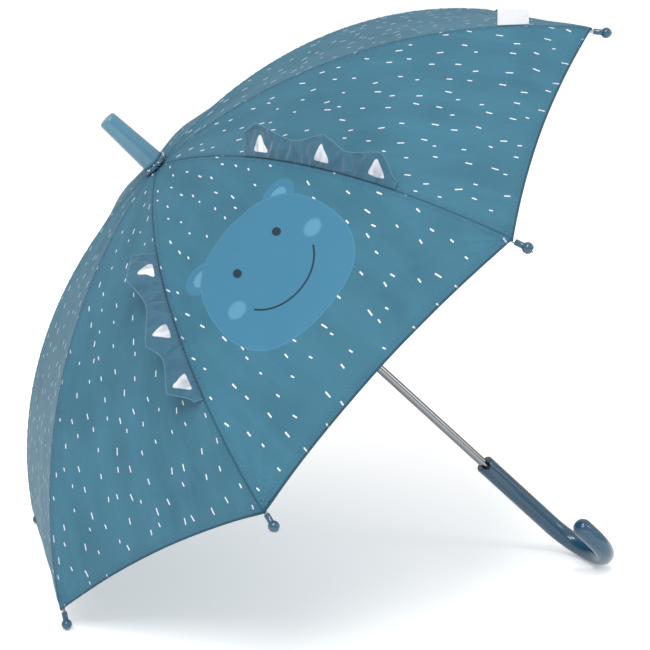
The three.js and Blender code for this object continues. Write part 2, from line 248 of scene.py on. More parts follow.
HUB_HEIGHT = 166.3095
joints = {joint["name"]: joint for joint in frame["joints"]}
up_shaft = -Vector(joints["runner_slide"]["axis"]).normalized()
to_floor = Vector((-up_shaft.z, 0.0, up_shaft.x))
STAND = np.array([to_floor, up_shaft.cross(to_floor), up_shaft]).T
hub = sum((Vector(joints[f"rib_{n}_hinge"]["pos_m"]) for n in range(1, 9)), Vector()) / 8
FOOT = np.array(hub) - STAND @ np.array([0, 0, HUB_HEIGHT]) / 1000

CAMERA_FROM_FOOT = (-0.36468, -1.53669, 0.32037)
CAMERA_RIGHT = (0.9708, -0.23614, 0.04226)
CAMERA_UP = (0.01053, 0.2179, 0.97591)
CAMERA_BACK = (-0.23966, -0.94697, 0.21403)
lens = bpy.data.cameras.new("camera")
lens.lens, lens.sensor_width = 102.34, 36.0
camera = put_in_scene("camera", lens)
camera_rows = zip(CAMERA_RIGHT, CAMERA_UP, CAMERA_BACK, FOOT + CAMERA_FROM_FOOT)
camera.matrix_world = Matrix([*camera_rows, (0, 0, 0, 1)])
scene.camera = camera


# Shaft: a chromed steel tube, 8 mm across, with a slot cut for each spring catch. It is pressed
# into the handle and the ferrule. Sizes from here on are millimetres in the shaft's own frame:
# Z runs up the shaft to the ferrule, and the whole umbrella leans over on the floor.
def turned_by(azimuth):
    return np.array([[cos(azimuth), -sin(azimuth), 0], [sin(azimuth), cos(azimuth), 0], [0, 0, 1]])


def in_room(points, azimuth=0.0):
    return np.asarray(points, float) @ turned_by(azimuth).T @ STAND.T / 1000 + FOOT


def from_room(points):
    return (np.asarray(points, float) - FOOT) * 1000 @ STAND


def spun(profile, sides=48):
    """Points and faces of a profile of (radius, height) spun about the shaft."""
    closed = tuple(profile[0]) == tuple(profile[-1])
    points, rings, faces = [], [], []
    for radius, height in profile[:-1] if closed else profile:
        count = 1 if radius < 1e-6 else sides
        rings.append(range(len(points), len(points) + count))
        points += [(radius * cos(2 * pi * k / sides), radius * sin(2 * pi * k / sides), height)
                   for k in range(count)]
    for low, high in zip(rings, rings[1:] + ([rings[0]] if closed else [])):
        for k in range(sides):
            corners = [low[k % len(low)], low[(k + 1) % len(low)],
                       high[(k + 1) % len(high)], high[k % len(high)]]
            faces.append(tuple(dict.fromkeys(corners)))
    return points, faces


def block(x0, x1, half_width, z0, z1, azimuth=0.0):
    """A box that reaches from x0 to x1 away from the shaft, for cutting slots."""
    corners = [(x, y, z) for x in (x0, x1) for y in (-half_width, half_width) for z in (z0, z1)]
    faces = [(0, 1, 3, 2), (4, 6, 7, 5), (0, 4, 5, 1), (2, 3, 7, 6), (0, 2, 6, 4), (1, 5, 7, 3)]
    return np.array(corners) @ turned_by(azimuth).T, faces


def joined(*parts):
    """Several (points, faces) as one."""
    points, faces = [], []
    for part_points, part_faces in parts:
        faces += [tuple(k + len(points) for k in face) for face in part_faces]
        points += [tuple(point) for point in part_points]
    return points, faces


def piece_from(name, shape, finish=None, azimuth=0.0, crease=35.0):
    points, faces = shape
    mesh = bpy.data.meshes.new(name)
    mesh.from_pydata([tuple(p) for p in in_room(points, azimuth)], [], faces)
    shell = bmesh.new()
    shell.from_mesh(mesh)
    bmesh.ops.remove_doubles(shell, verts=shell.verts, dist=1e-6)
    bmesh.ops.recalc_face_normals(shell, faces=shell.faces)
    shell.to_mesh(mesh)
    shell.free()
    smooth(mesh, crease)
    if finish:
        mesh.materials.append(finish.material)
    return put_in_scene(name, mesh)


def smooth(mesh, crease=35.0):
    mesh.polygons.foreach_set("use_smooth", [True] * len(mesh.polygons))
    mesh.set_sharp_from_angle(angle=radians(crease))


def plain_mesh(piece):
    """Turns what the piece's modifiers make into its own mesh, and removes them."""
    bpy.context.view_layer.update()
    made = bpy.data.meshes.new_from_object(piece.evaluated_get(bpy.context.evaluated_depsgraph_get()))
    made.name = piece.name
    piece.modifiers.clear()
    piece.data = made


def cut_away(piece, cutter_shape, azimuth=0.0):
    cutter = piece_from("cutter", cutter_shape, azimuth=azimuth)
    cut = piece.modifiers.new("cut", "BOOLEAN")
    cut.operation, cut.solver, cut.object = "DIFFERENCE", "EXACT", cutter
    plain_mesh(piece)
    bpy.data.objects.remove(cutter)
    smooth(piece.data)


def soften(piece, width, segments=2):
    """Rounds the sharp edges by width, in millimetres."""
    bevel = piece.modifiers.new("edges", "BEVEL")
    bevel.width, bevel.segments = width / 1000, segments
    bevel.limit_method, bevel.angle_limit = "ANGLE", radians(35)
    piece.modifiers.new("even_shading", "WEIGHTED_NORMAL").keep_sharp = True


def fasten(piece, body, slot, *nodes):
    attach(piece, body)
    if nodes:
        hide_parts(*nodes)


def steel_finish(name, colour, roughness, spread):
    """Steel with drawing marks along it and a little wear in its shine."""
    steel = Finish(name, colour, roughness, 1.0)
    place = steel.own_place()
    marks = steel.speckle(place, 1400.0, 3.0)
    smears = steel.speckle(place, 38.0, 3.0)
    steel.gloss((marks * 0.45 + smears * 0.55).spread(roughness - spread, roughness + spread))
    steel.tint(smears.spread(-0.15, 0.5), "7B7F82")
    steel.relief((marks, 0.000012))
    return steel


chrome = steel_finish("bright_steel", "8E9194", 0.14, 0.06)
CATCH_LENGTH = 24.0
TOP_CATCH, LOW_CATCH = -20.6, -217.5
CATCH_SLOT_HALF = 0.9
CATCH_AZIMUTH = radians(-90)
shaft = piece_from("steel_shaft", spun([
    (3.3, -330), (3.8, -330), (4, -329.8), (4, 212.8), (3.8, 213), (3.3, 213), (3.3, -330)], 64), chrome)
cut_away(shaft, joined(
    block(0, 6, CATCH_SLOT_HALF, TOP_CATCH - CATCH_LENGTH, TOP_CATCH + 0.8),
    block(0, 6, CATCH_SLOT_HALF, LOW_CATCH - 0.8, LOW_CATCH + CATCH_LENGTH)), CATCH_AZIMUTH)
fasten(shaft, "root", "bright_steel", "shaft")


# Spring catches: leaves of spring steel inside the tube. Their noses stand out through the slots
# and hold the runner at both ends of its travel, until a thumb presses them in.
def plate(outline, thickness, offset=0.0):
    """A flat outline of (away from the shaft, up the shaft) as a plate across the shaft."""
    count = len(outline)
    points = [(x, offset + side * thickness / 2, z) for side in (-1, 1) for x, z in outline]
    faces = [tuple(range(count)), tuple(range(2 * count - 1, count - 1, -1))]
    faces += [(k, count + k, count + (k + 1) % count, (k + 1) % count) for k in range(count)]
    return points, faces


def catch_leaf(flat_at, downward):
    return plate([(x, flat_at - downward * z) for x, z in (
        (-0.7, 0), (6.0, 0), (6.2, 0.2), (6.2, 2), (5.2, 6.6), (3.0, 16), (1.0, CATCH_LENGTH),
        (-1.0, CATCH_LENGTH))], 1.2)


spring_steel = steel_finish("spring_steel", "9BA0A5", 0.3, 0.09)
for name, flat_at, downward in (("top_catch", TOP_CATCH, 1), ("bottom_catch", LOW_CATCH, -1)):
    catch = piece_from(name + "_leaf", catch_leaf(flat_at, downward), spring_steel, CATCH_AZIMUTH)
    soften(catch, 0.12)
    fasten(catch, name, "spring_steel", name)


# Ferrule: a pale, glossy moulded cap, hollow and tapered, pushed over the end of the shaft.
# Its mouth presses the rosette and the canopy down on the top notch.
def glossy_plastic(name, colour, worn_colour, deep_colour):
    """Moulded plastic with faint flow lines, handling marks and a soft orange-peel skin."""
    plastic = Finish(name, colour, 0.22, constants={"Coat Weight": 0.35, "Coat Roughness": 0.08})
    place = plastic.own_place()
    flow = plastic.speckle(plastic.stretched(place, (1.0, 0.6, 1.0)), 24.0, 3.0)
    scuffs = plastic.speckle(place, 170.0, 4.0, 0.7)
    skin = plastic.speckle(place, 420.0, 1.0)
    plastic.tint(flow.spread(-0.2, 0.5), deep_colour)
    plastic.tint(scuffs.below(0.36, 0.05) * 0.3, worn_colour)
    plastic.gloss(scuffs.spread(0.13, 0.34))
    plastic.relief((skin, 0.00005), (scuffs, 0.00001))
    return plastic


pale_plastic = glossy_plastic("pale_plastic", "487A90", "6F99AD", "3B6A80")
FERRULE_TOP = 228.0
ferrule = piece_from("ferrule_cap", spun([
    (4.3, 170.8), (7.4, 170.8), (7.6, 171.0), (7.6, 175.0), (9.5, 175.2), (9.85, 175.35), (10, 175.8),
    (9.95, 178.0), (7.95, 225.2), (7.85, 226.4), (7.5, 227.3), (6.8, 227.8), (6.0, FERRULE_TOP),
    (3.0, FERRULE_TOP + 0.05), (0, FERRULE_TOP + 0.05), (0, 214), (4.3, 214), (4.3, 170.8)][:-1], 72),
    pale_plastic, crease=50)
fasten(ferrule, "root", "pale_plastic", "ferrule")


# Top notch and its wire: a nylon disc fixed on the shaft. Eight slots hold the inner ends of the
# ribs, and a steel wire threads their eyes.
RIB_COUNT = 8
PIVOT_RADIUS, WIRE_RADIUS = 9.0, 0.5


def rib_azimuth(number):
    return radians(22.5 + (number - 1) * 45)


def rib_slots(inner, outer, half_width, low, high):
    return joined(*(block(inner, outer, half_width, low, high, rib_azimuth(n + 1)) for n in range(RIB_COUNT)))


def wire_ring(height):
    around = [2 * pi * k / 12 for k in range(12)]
    section = [(PIVOT_RADIUS + WIRE_RADIUS * cos(a), height + WIRE_RADIUS * sin(a)) for a in around]
    return spun(section + section[:1], 64)


nylon = Finish("nylon", "E2E3DF", 0.45, constants={
    "Subsurface Weight": 0.08, "Subsurface Radius": (0.002, 0.002, 0.002)})
nylon_place = nylon.own_place()
nylon_grain = nylon.speckle(nylon_place, 260.0, 3.0)
nylon.tint(nylon.speckle(nylon_place, 45.0, 3.0).spread(-0.1, 0.45), "CBCFCD")
nylon.gloss(nylon_grain.spread(0.36, 0.58))
nylon.relief((nylon_grain, 0.00004))
notch = piece_from("notch_disc", spun([
    (4.3, 161.5), (8, 161.5), (11.5, 163), (11.5, 165.4), (8.2, 165.4), (8.2, 167.1), (11.5, 167.1),
    (11.5, 167.9), (4.3, 167.9), (4.3, 161.5)]), nylon)
cut_away(notch, rib_slots(6.8, 13, 1.4, 161, 169))
soften(notch, 0.15)
fasten(notch, "root", "nylon", "top_notch")
notch_wire = piece_from("notch_wire_ring", wire_ring(HUB_HEIGHT), chrome)
fasten(notch_wire, "root", "bright_steel", "notch_wire")


# Runner and its wire: a nylon sleeve that slides on the shaft. Its slotted crown holds the inner
# ends of the stretchers, and the bottom catch snaps into its window when the umbrella is closed.
RUNNER_HEIGHT = 20.0
runner = piece_from("runner_sleeve", spun([(radius, height + RUNNER_HEIGHT) for radius, height in (
    (4.35, -40), (7.1, -40), (7.4, -39.7), (7.4, -37.4), (7.1, -36.9), (6.4, -36), (6.4, -6),
    (11.5, -4), (11.5, -1), (8.2, -1), (8.2, 1), (11.5, 1), (11.5, 4), (6.8, 5), (6.8, 8), (4.35, 8),
    (4.35, -40))]), nylon)
cut_away(runner, joined(
    block(4, 9, 1.6, RUNNER_HEIGHT - 34.6, RUNNER_HEIGHT - 23, CATCH_AZIMUTH),
    rib_slots(6.9, 13, 1.5, RUNNER_HEIGHT - 7, RUNNER_HEIGHT + 6)))
soften(runner, 0.18)
fasten(runner, "runner", "nylon", "runner")
runner_wire = piece_from("runner_wire_ring", wire_ring(RUNNER_HEIGHT), chrome)
fasten(runner_wire, "runner", "bright_steel", "runner_wire")


# Ribs: spring steel rolled to a channel that is open underneath, arched over the umbrella. The
# inner end is rolled into an eye for the notch wire, and the stretcher is riveted near the middle.
DOME_CENTRE = -281.0
RIB_ARC = 447.4
RIVET_FROM_HUB = 165.0
RIB_CHANNEL = [(-1, 0.9), (-0.8, 1.1), (0.8, 1.1), (1, 0.9), (1, -1.1), (0.62, -1.1), (0.62, 0.62),
               (-0.62, 0.62), (-0.62, -1.1), (-1, -1.1)]


def on_arc(arc, turn):
    return np.array([arc * sin(turn), DOME_CENTRE + arc * cos(turn)])


def swept(path, section, sizes=None):
    """A section of (sideways, upward) points drawn along a path of (away, up) points."""
    path = np.asarray(path, float)
    tangents = np.gradient(path, axis=0)
    tangents /= np.linalg.norm(tangents, axis=1)[:, None]
    sizes = np.ones(len(path)) if sizes is None else sizes
    points, faces, count = [], [], len(section)
    for (x, z), (tx, tz), size in zip(path, tangents, sizes):
        points += [(x - tz * up * size, side * size, z + tx * up * size) for side, up in section]
    for ring in range(len(path) - 1):
        for k in range(count):
            a, b = ring * count + k, ring * count + (k + 1) % count
            faces.append((a, b, b + count, a + count))
    faces += [tuple(range(count)), tuple(range(len(points) - 1, len(points) - 1 - count, -1))]
    return points, faces


def laid_across(shape, centre):
    """A spun shape turned so that its axis runs across the rib, through centre."""
    points, faces = shape
    return [(x + centre[0], z, y + centre[1]) for x, y, z in points], faces


def eye(centre, inner, outer, width):
    """A rolled eye about a wire that runs across the shaft."""
    ring = [(inner, -width / 2), (outer, -width / 2), (outer, width / 2), (inner, width / 2),
            (inner, -width / 2)]
    return laid_across(spun(ring, 20), centre)


pivot_turn = asin(PIVOT_RADIUS / RIB_ARC)
ball_turn = acos(-DOME_CENTRE / RIB_ARC)
rib_turns = np.linspace(asin((PIVOT_RADIUS + 1.2) / RIB_ARC), ball_turn + 4.6 / RIB_ARC, 49)
rib_shape = joined(
    swept([on_arc(RIB_ARC, turn) for turn in rib_turns], RIB_CHANNEL),
    eye((PIVOT_RADIUS, HUB_HEIGHT), 0.75, 1.85, 1.7))
for number in range(1, RIB_COUNT + 1):
    rib = piece_from(f"rib_channel_{number}", rib_shape, spring_steel, rib_azimuth(number))
    fasten(rib, f"rib_{number}", "spring_steel", f"rib_{number}")


# Rib tips: glossy blue balls moulded with a short socket. Each caps a rib, and the corner of the
# canopy is caught behind the ball.
BALL_RADIUS = 4.3
blue_plastic = glossy_plastic("blue_plastic", "214B62", "446E86", "193D52")
ball_profile = [(1.7, -10.2), (2.1, -10.2), (2.3, -9.9), (2.3, -4.1)] + [
    (BALL_RADIUS * cos(turn), BALL_RADIUS * sin(turn)) for turn in np.radians(np.linspace(-57, 84, 20))
] + [(0, BALL_RADIUS), (0, -4.2), (1.7, -4.2), (1.7, -10.2)]
ball_points, ball_faces = spun(ball_profile, 36)
tilt = pi / 2 + ball_turn - 0.008
ball_x, ball_y, ball_z = np.array(ball_points).T
end_x, end_z = on_arc(RIB_ARC, ball_turn)
ball_points = np.stack([ball_x * cos(tilt) + ball_z * sin(tilt) + end_x, ball_y,
                        -ball_x * sin(tilt) + ball_z * cos(tilt) + end_z], 1)
for number in range(1, RIB_COUNT + 1):
    ball = piece_from(f"tip_ball_{number}", (ball_points, ball_faces), blue_plastic, rib_azimuth(number))
    fasten(ball, f"rib_{number}", "blue_plastic", f"rib_tip_{number}")


# Stretchers: steel channels that push the ribs out. Two cheeks straddle the rib on a rivet, and
# the inner end is rolled into an eye on the runner's wire.
joint_turn = pivot_turn + 2 * asin(RIVET_FROM_HUB / (2 * RIB_ARC))
rivet_at = on_arc(RIB_ARC, joint_turn)
run = np.array([PIVOT_RADIUS, RUNNER_HEIGHT]) - rivet_at
stretcher_length = np.linalg.norm(run)
run /= stretcher_length
above = np.array([run[1], -run[0]])


def beside_stretcher(outline):
    """(along, up) from the rivet as (away, up the shaft)."""
    return [tuple(rivet_at + run * x + above * z) for x, z in outline]


cheek = beside_stretcher([(1.2 * cos(turn), 1.2 * sin(turn)) for turn in np.radians(np.linspace(90, 270, 9))]
                         + [(15, -1.2), (15, 1.2)])
stretcher_channel = [(side * 1.0, -up) for side, up in RIB_CHANNEL]
pin = laid_across(spun([
    (0, -2.75), (0.7, -2.7), (0.95, -2.2), (0.42, -2.2), (0.42, 2.2), (0.95, 2.2), (0.7, 2.7),
    (0, 2.75)], 16), rivet_at)
stretcher_shape = joined(
    plate(cheek, 0.8, -1.8), plate(cheek, 0.8, 1.8),
    plate(beside_stretcher([(10.5, -1.2), (15, -1.2), (15, 1.2), (10.5, 1.2)]), 3.4),
    swept(beside_stretcher([(x, 0) for x in np.linspace(14, stretcher_length - 1.3, 12)]), stretcher_channel),
    eye((PIVOT_RADIUS, RUNNER_HEIGHT), 0.7, 1.5, 1.6), pin)
for number in range(1, RIB_COUNT + 1):
    bar = piece_from(f"stretcher_bar_{number}", stretcher_shape, spring_steel, rib_azimuth(number))
    fasten(bar, f"stretcher_{number}", "spring_steel", f"stretcher_{number}")


# Handle: a glossy moulded crook, bored for the shaft. A saddle is cut across its mouth, and its
# end is rounded off.
HANDLE_TOP, HANDLE_RADIUS = -239.0, 8.6
HOOK_START, HOOK_RADIUS, HOOK_END = -330.75, 37.5, 11.8
HOOK_AZIMUTH = radians(102.9)
MOUTH_ROUNDING = 0.16
mouth_turns = np.radians((0, 30, 60, 90))
mouth_stations = [(0.0, HANDLE_TOP - HANDLE_RADIUS * MOUTH_ROUNDING * (1 - cos(a))) for a in mouth_turns]
mouth_sizes = [1 - MOUTH_ROUNDING + MOUTH_ROUNDING * sin(a) for a in mouth_turns]
straight = [(0.0, z) for z in np.linspace(HANDLE_TOP - 6, HOOK_START + 4, 14)]
half_turn = [(HOOK_RADIUS * (1 - cos(a)), HOOK_START - HOOK_RADIUS * sin(a)) for a in np.linspace(0, pi, 49)]
end_stations = [(2 * HOOK_RADIUS, HOOK_START + HOOK_END * k / 3) for k in (1, 2, 3)]
cap_angles = np.radians((14, 28, 42, 55, 67, 78, 86))
cap = [(2 * HOOK_RADIUS, HOOK_START + HOOK_END + HANDLE_RADIUS * 0.985 * sin(a)) for a in cap_angles]
crook_path = mouth_stations + straight + half_turn + end_stations + cap
crook_sizes = mouth_sizes + [1.0] * (len(straight) + len(half_turn) + len(end_stations)) + [
    cos(a) for a in cap_angles]
round_section = [(HANDLE_RADIUS * cos(a), HANDLE_RADIUS * sin(a)) for a in np.linspace(0, 2 * pi, 56, False)]
handle = piece_from("crook_handle", swept(crook_path, round_section, crook_sizes), blue_plastic, HOOK_AZIMUTH)
cut_away(handle, spun([(0, -331), (4.05, -331), (4.05, HANDLE_TOP + 5), (0, HANDLE_TOP + 5)], 40))
SADDLE_RADIUS = 3.4
saddle = [(SADDLE_RADIUS * cos(a), HANDLE_TOP - 1.0 + SADDLE_RADIUS * sin(a))
          for a in np.linspace(-pi, 0, 17)]
saddle += [(SADDLE_RADIUS, HANDLE_TOP + 6), (-SADDLE_RADIUS, HANDLE_TOP + 6)]
cut_away(handle, plate(saddle, 30))
soften(handle, 0.55, 3)
fasten(handle, "root", "blue_plastic", "handle")


# Rosette: a strip of the canopy's printed cloth, gathered and twisted into a ring. It is clamped
# under the ferrule and hides the canopy's raw edge.
THREAD = 0.0006


def woven(finish, place):
    """Relief of a plain weave, laid along the cloth's own map in metres."""
    across, along, _ = finish.axes(place)
    warp = (across * (2 * pi / THREAD)).combine("SINE")
    weft = (along * (2 * pi / THREAD)).combine("SINE")
    return warp * weft * 0.5 + 0.5


def dash_marks(finish, place, spacing, shortest, longest, half_width, lean):
    """Small rounded strokes printed one to a cell: 1 on a stroke and 0 beside it."""
    cells = finish.node("TexVoronoi", {"Vector": place, "Scale": 1 / spacing, "Randomness": 0.72},
                        voronoi_dimensions="2D", feature="F1")
    offset = finish.node("VectorMath", {0: place, 1: cells.outputs["Position"]}, operation="SUBTRACT")
    across, along, _ = finish.axes(offset.outputs[0])
    draw = finish.node("SeparateColor", {"Color": cells.outputs["Color"]})
    angle = Reading(finish.tree, draw.outputs[0]).spread(-lean, lean)
    reach = Reading(finish.tree, draw.outputs[1]).spread(shortest / 2, longest / 2) - half_width
    cosine, sine = angle.combine("COSINE"), angle.combine("SINE")
    beside = across * cosine + along * sine
    beyond = (abs(along * cosine - across * sine) - reach).combine("MAXIMUM", 0.0)
    return (beside * beside + beyond * beyond).combine("SQRT").below(half_width, 0.00014)


def border_of(grid):
    """The numbers on the border of a grid of points, once round."""
    return [*grid[0, :], *grid[1:, -1], *grid[-1, -2::-1], *grid[-2:0:-1, 0]]


def cloth_shape(place, columns, rows, thickness):
    """A closed sheet. place(across, along) gives its outer face; the inner face lies thickness
    inside. Also returns a normal for each point, so that neighbouring sheets shade as one."""
    across, along = np.meshgrid(columns, rows)
    step = 1e-4
    outer = place(across, along)
    normals = np.cross(place(across, along + step) - place(across, along - step),
                       place(across + step, along) - place(across - step, along))
    normals /= np.linalg.norm(normals, axis=2)[:, :, None]
    depth = thickness(across, along) if callable(thickness) else thickness
    inner = outer - normals * np.broadcast_to(np.asarray(depth), across.shape)[:, :, None]
    height, width = across.shape
    grid = np.arange(height * width).reshape(height, width)
    under = grid + height * width
    cells = [(row, k) for row in range(height - 1) for k in range(width - 1)]
    faces = [(grid[r, k], grid[r + 1, k], grid[r + 1, k + 1], grid[r, k + 1]) for r, k in cells]
    faces += [(under[r, k], under[r, k + 1], under[r + 1, k + 1], under[r + 1, k]) for r, k in cells]
    border = border_of(grid)
    for a, b in zip(border, border[1:] + border[:1]):
        faces.append((a, b, b + height * width, a + height * width))
    points = np.concatenate([outer.reshape(-1, 3), inner.reshape(-1, 3)])
    return points, [tuple(int(k) for k in face) for face in faces], normals.reshape(-1, 3), (across, along)


def corner_points(mesh):
    """The point that each corner of each face stands on."""
    found = np.empty(len(mesh.loops), int)
    mesh.loops.foreach_get("vertex_index", found)
    return found


def lay_map(mesh, name, x, y):
    """Gives each point its place on the flat cloth. Both faces of a sheet share their places."""
    places = np.stack([np.ravel(x), np.ravel(y)], 1)[corner_points(mesh) % np.size(x)]
    mesh.uv_layers.new(name=name).data.foreach_set("uv", places.astype(np.float32).ravel())


def cloth_piece(name, shape, maps, finish, lining=None, azimuth=0.0):
    """maps are {map name: (x, y) of each point in metres}; the lining shows on the inner face."""
    points, faces, normals, (across, _) = shape
    one_side, sheet_faces = across.size, (across.shape[0] - 1) * (across.shape[1] - 1)
    mesh = bpy.data.meshes.new(name)
    mesh.from_pydata([tuple(p) for p in in_room(points, azimuth)], [], faces)
    mesh.polygons.foreach_set("use_smooth", [True] * len(mesh.polygons))
    for map_name, (x, y) in maps.items():
        lay_map(mesh, map_name, x, y)
    turned = normals @ turned_by(azimuth).T @ STAND.T
    shading = turned[corner_points(mesh) % one_side]
    face_of_corner = np.repeat(np.arange(len(mesh.polygons)), 4)
    shading[(face_of_corner >= sheet_faces) & (face_of_corner < 2 * sheet_faces)] *= -1
    rim = face_of_corner >= 2 * sheet_faces
    flat = np.array([polygon.normal[:] for polygon in mesh.polygons])
    shading[rim] = flat[face_of_corner[rim]]
    mesh.normals_split_custom_set(shading.tolist())
    mesh.materials.append(finish.material)
    if lining:
        mesh.materials.append(lining.material)
        inside = np.zeros(len(mesh.polygons), int)
        inside[sheet_faces:2 * sheet_faces] = 1
        mesh.polygons.foreach_set("material_index", inside)
    return put_in_scene(name, mesh)


PRINT_WHITE = "D3D3DA"
ROSETTE_RADIUS, ROSETTE_ROLL, ROSETTE_HEIGHT = 10.3, 2.0, 172.6
GATHERS = 17
STRIP_LENGTH, STRIP_WIDTH = 0.065, 0.0126
round_turns = np.linspace(0, 2 * pi, 205)
roll_turns = np.linspace(0, 2 * pi, 25)
round_grid, roll_grid = np.meshgrid(round_turns, roll_turns)
roll = ROSETTE_ROLL * (1 + 0.17 * np.sin(GATHERS * round_grid + 2 * roll_grid)
                       + 0.05 * np.sin(5 * round_grid - roll_grid))
away = ROSETTE_RADIUS + roll * np.cos(roll_grid)
rosette_points = np.stack([away * np.cos(round_grid), away * np.sin(round_grid),
                           ROSETTE_HEIGHT + roll * np.sin(roll_grid)], 2)[:-1, :-1]
rows, columns = rosette_points.shape[:2]


def cell_corners(row, column):
    """The corners of one cell of the ring: the point's number, and its step round and along."""
    steps = ((row, column), (row, column + 1), (row + 1, column + 1), (row + 1, column))
    return {r % rows * columns + k % columns: (k, r) for r, k in steps}


ring_faces = [tuple(cell_corners(row, column)) for row in range(rows) for column in range(columns)]
rosette = piece_from("gathered_rosette", (rosette_points.reshape(-1, 3), ring_faces), crease=80)
rosette_map = rosette.data.uv_layers.new(name="cloth")
for polygon in rosette.data.polygons:
    corners = cell_corners(*divmod(polygon.index, columns))
    for corner in polygon.loop_indices:
        k, r = corners[rosette.data.loops[corner].vertex_index]
        rosette_map.data[corner].uv = (k / columns * STRIP_LENGTH, r / rows * STRIP_WIDTH)
rosette_cloth = Finish("rosette_cloth", "2C4F66", 0.8, constants={
    "Sheen Weight": 0.25, "Sheen Roughness": 0.5})
rosette_place = rosette_cloth.map_place("cloth")
rosette_cloth.tint(rosette_cloth.speckle(rosette_place, 400.0, 3.0).spread(-0.1, 0.6), "3F6A84")
rosette_dashes = dash_marks(rosette_cloth, rosette_place, 0.0042, 0.0016, 0.0028, 0.00035, 0.6)
rosette_cloth.tint(rosette_dashes, PRINT_WHITE)
rosette_folds = rosette_cloth.speckle(rosette_cloth.stretched(rosette_place, (3.0, 0.6, 1.0)), 300.0)
rosette_cloth.relief((rosette_folds, 0.0003), (woven(rosette_cloth, rosette_place), 0.00004))
rosette.data.materials.append(rosette_cloth.material)
fasten(rosette, "root", "fin_cloth", "rosette")


# Canopy: eight panels of woven polyester, printed with small white dashes and sewn rib to rib.
# Each panel is one taut curved sheet, made as two halves that meet on its middle line. One panel
# carries a printed patch with a plain smile.
CANOPY_ARC = 450.4
HEM_REACH, HEM_SCALLOP = 343.0, 9.0
HUB_TURN = 0.0145
HALF_PANEL = pi / RIB_COUNT
HEM_TURN = asin(HEM_REACH / CANOPY_ARC)
HALF_HEM = 131.0
PATCH_DOWN = 251.0


def panel_half(turn):
    """From a panel's middle line to its seam, along a straight line."""
    return CANOPY_ARC * np.sin(turn) * sin(HALF_PANEL)


def canopy_measures(across, along):
    """Turn from the shaft, distance to the nearest seam and distance to the hem, along the cloth."""
    last = HEM_TURN - HEM_SCALLOP / CANOPY_ARC * (1 - across ** 2)
    turn = HUB_TURN + (last - HUB_TURN) * along
    return turn, panel_half(turn) * (1 - abs(across)), CANOPY_ARC * (last - turn)


def canopy_waves(number, across, along, turn, seam, hem):
    """How far the cloth stands off its taut shape: seam groove and pucker, slack in the middle,
    and drawn folds that run in from the tips and round the printed patch."""
    down = CANOPY_ARC * turn
    side = panel_half(turn) * across
    groove = -0.55 * np.exp(-(seam / 1.1) ** 2)
    pucker = 0.3 * np.exp(-seam / 6) * np.minimum(seam / 2.5, 1) * np.sin(
        down * 0.75 + 2.2 * np.sin(down / 21 + number) + number)
    slack = -1.6 * (1 - across ** 2) * np.sin(pi * np.clip(along, 0, 1)) ** 1.3
    broad = 0.55 * (1 - across ** 2) * np.sin(side / 19 + down / 41 + number * 1.7) * np.sin(
        down / 33 - side / 47 + number * 0.9)
    folds = 0.0
    for corner in (-1, 1):
        aside = (1 - corner * across) * HALF_HEM * along
        away = np.hypot(hem, aside)
        spoke = np.arctan2(hem, aside + 1e-6)
        folds = folds + 0.55 * np.exp(-away / 75) * np.minimum(away / 12, 1) * np.sin(
            spoke * 15 + number * 2.1 + corner)
    gathered = 0.5 * np.exp(-down / 45) * np.sin(across * 7 + number) * np.minimum(seam / 3, 1)
    patch = 0.0
    if number == 2:
        ring = np.hypot(side / 60, (down - PATCH_DOWN) / 64)
        patch = 0.25 / (1 + np.exp((ring - 1) * 60)) + 0.5 * np.exp(-((ring - 1.15) / 0.2) ** 2) * np.sin(
            np.arctan2(down - PATCH_DOWN, side + 0.01) * 11 + side / 25)
    return groove + pucker + slack + broad + folds + gathered + patch


def canopy_point(number, across, along, lift=0.0):
    turn, seam, hem = canopy_measures(across, along)
    reach = CANOPY_ARC * np.sin(turn)
    off = canopy_waves(number, across, along, turn, np.maximum(seam, 0), hem) + lift
    outward = np.stack([np.sin(turn), 0 * turn, np.cos(turn) * cos(HALF_PANEL)], -1)
    outward /= np.linalg.norm(outward, axis=-1)[..., None]
    base = np.stack([reach * cos(HALF_PANEL), across * reach * sin(HALF_PANEL),
                     DOME_CENTRE + CANOPY_ARC * np.cos(turn)], -1)
    return base + outward * off[..., None]


# The patch and its face, in metres from the patch's middle: two round ears and eyes, an arc of a
# smile and two cheeks, each placed once and mirrored.
PATCH_ACROSS = 0.002
PATCH_HALF_WIDTH, PATCH_HALF_HEIGHT, PATCH_FLARE = 0.0605, 0.0655, 0.1
EAR, EAR_RADIUS, INNER_EAR_RADIUS = (0.043, -0.0475), 0.0148, 0.0075
EYE, EYE_RADIUS, EYE_SQUASH = (0.0215, -0.0215), 0.0034, 0.5
CHEEK, CHEEK_RADIUS = (0.0415, 0.004), 0.0075
SMILE_RADIUS, SMILE_LINE, SMILE_TOP = 0.036, 0.0008, 0.016
PATCH_BLUE, RIM_BLUE, BLUSH, INK = "3C718B", "5388A2", "6398B2", "22313B"


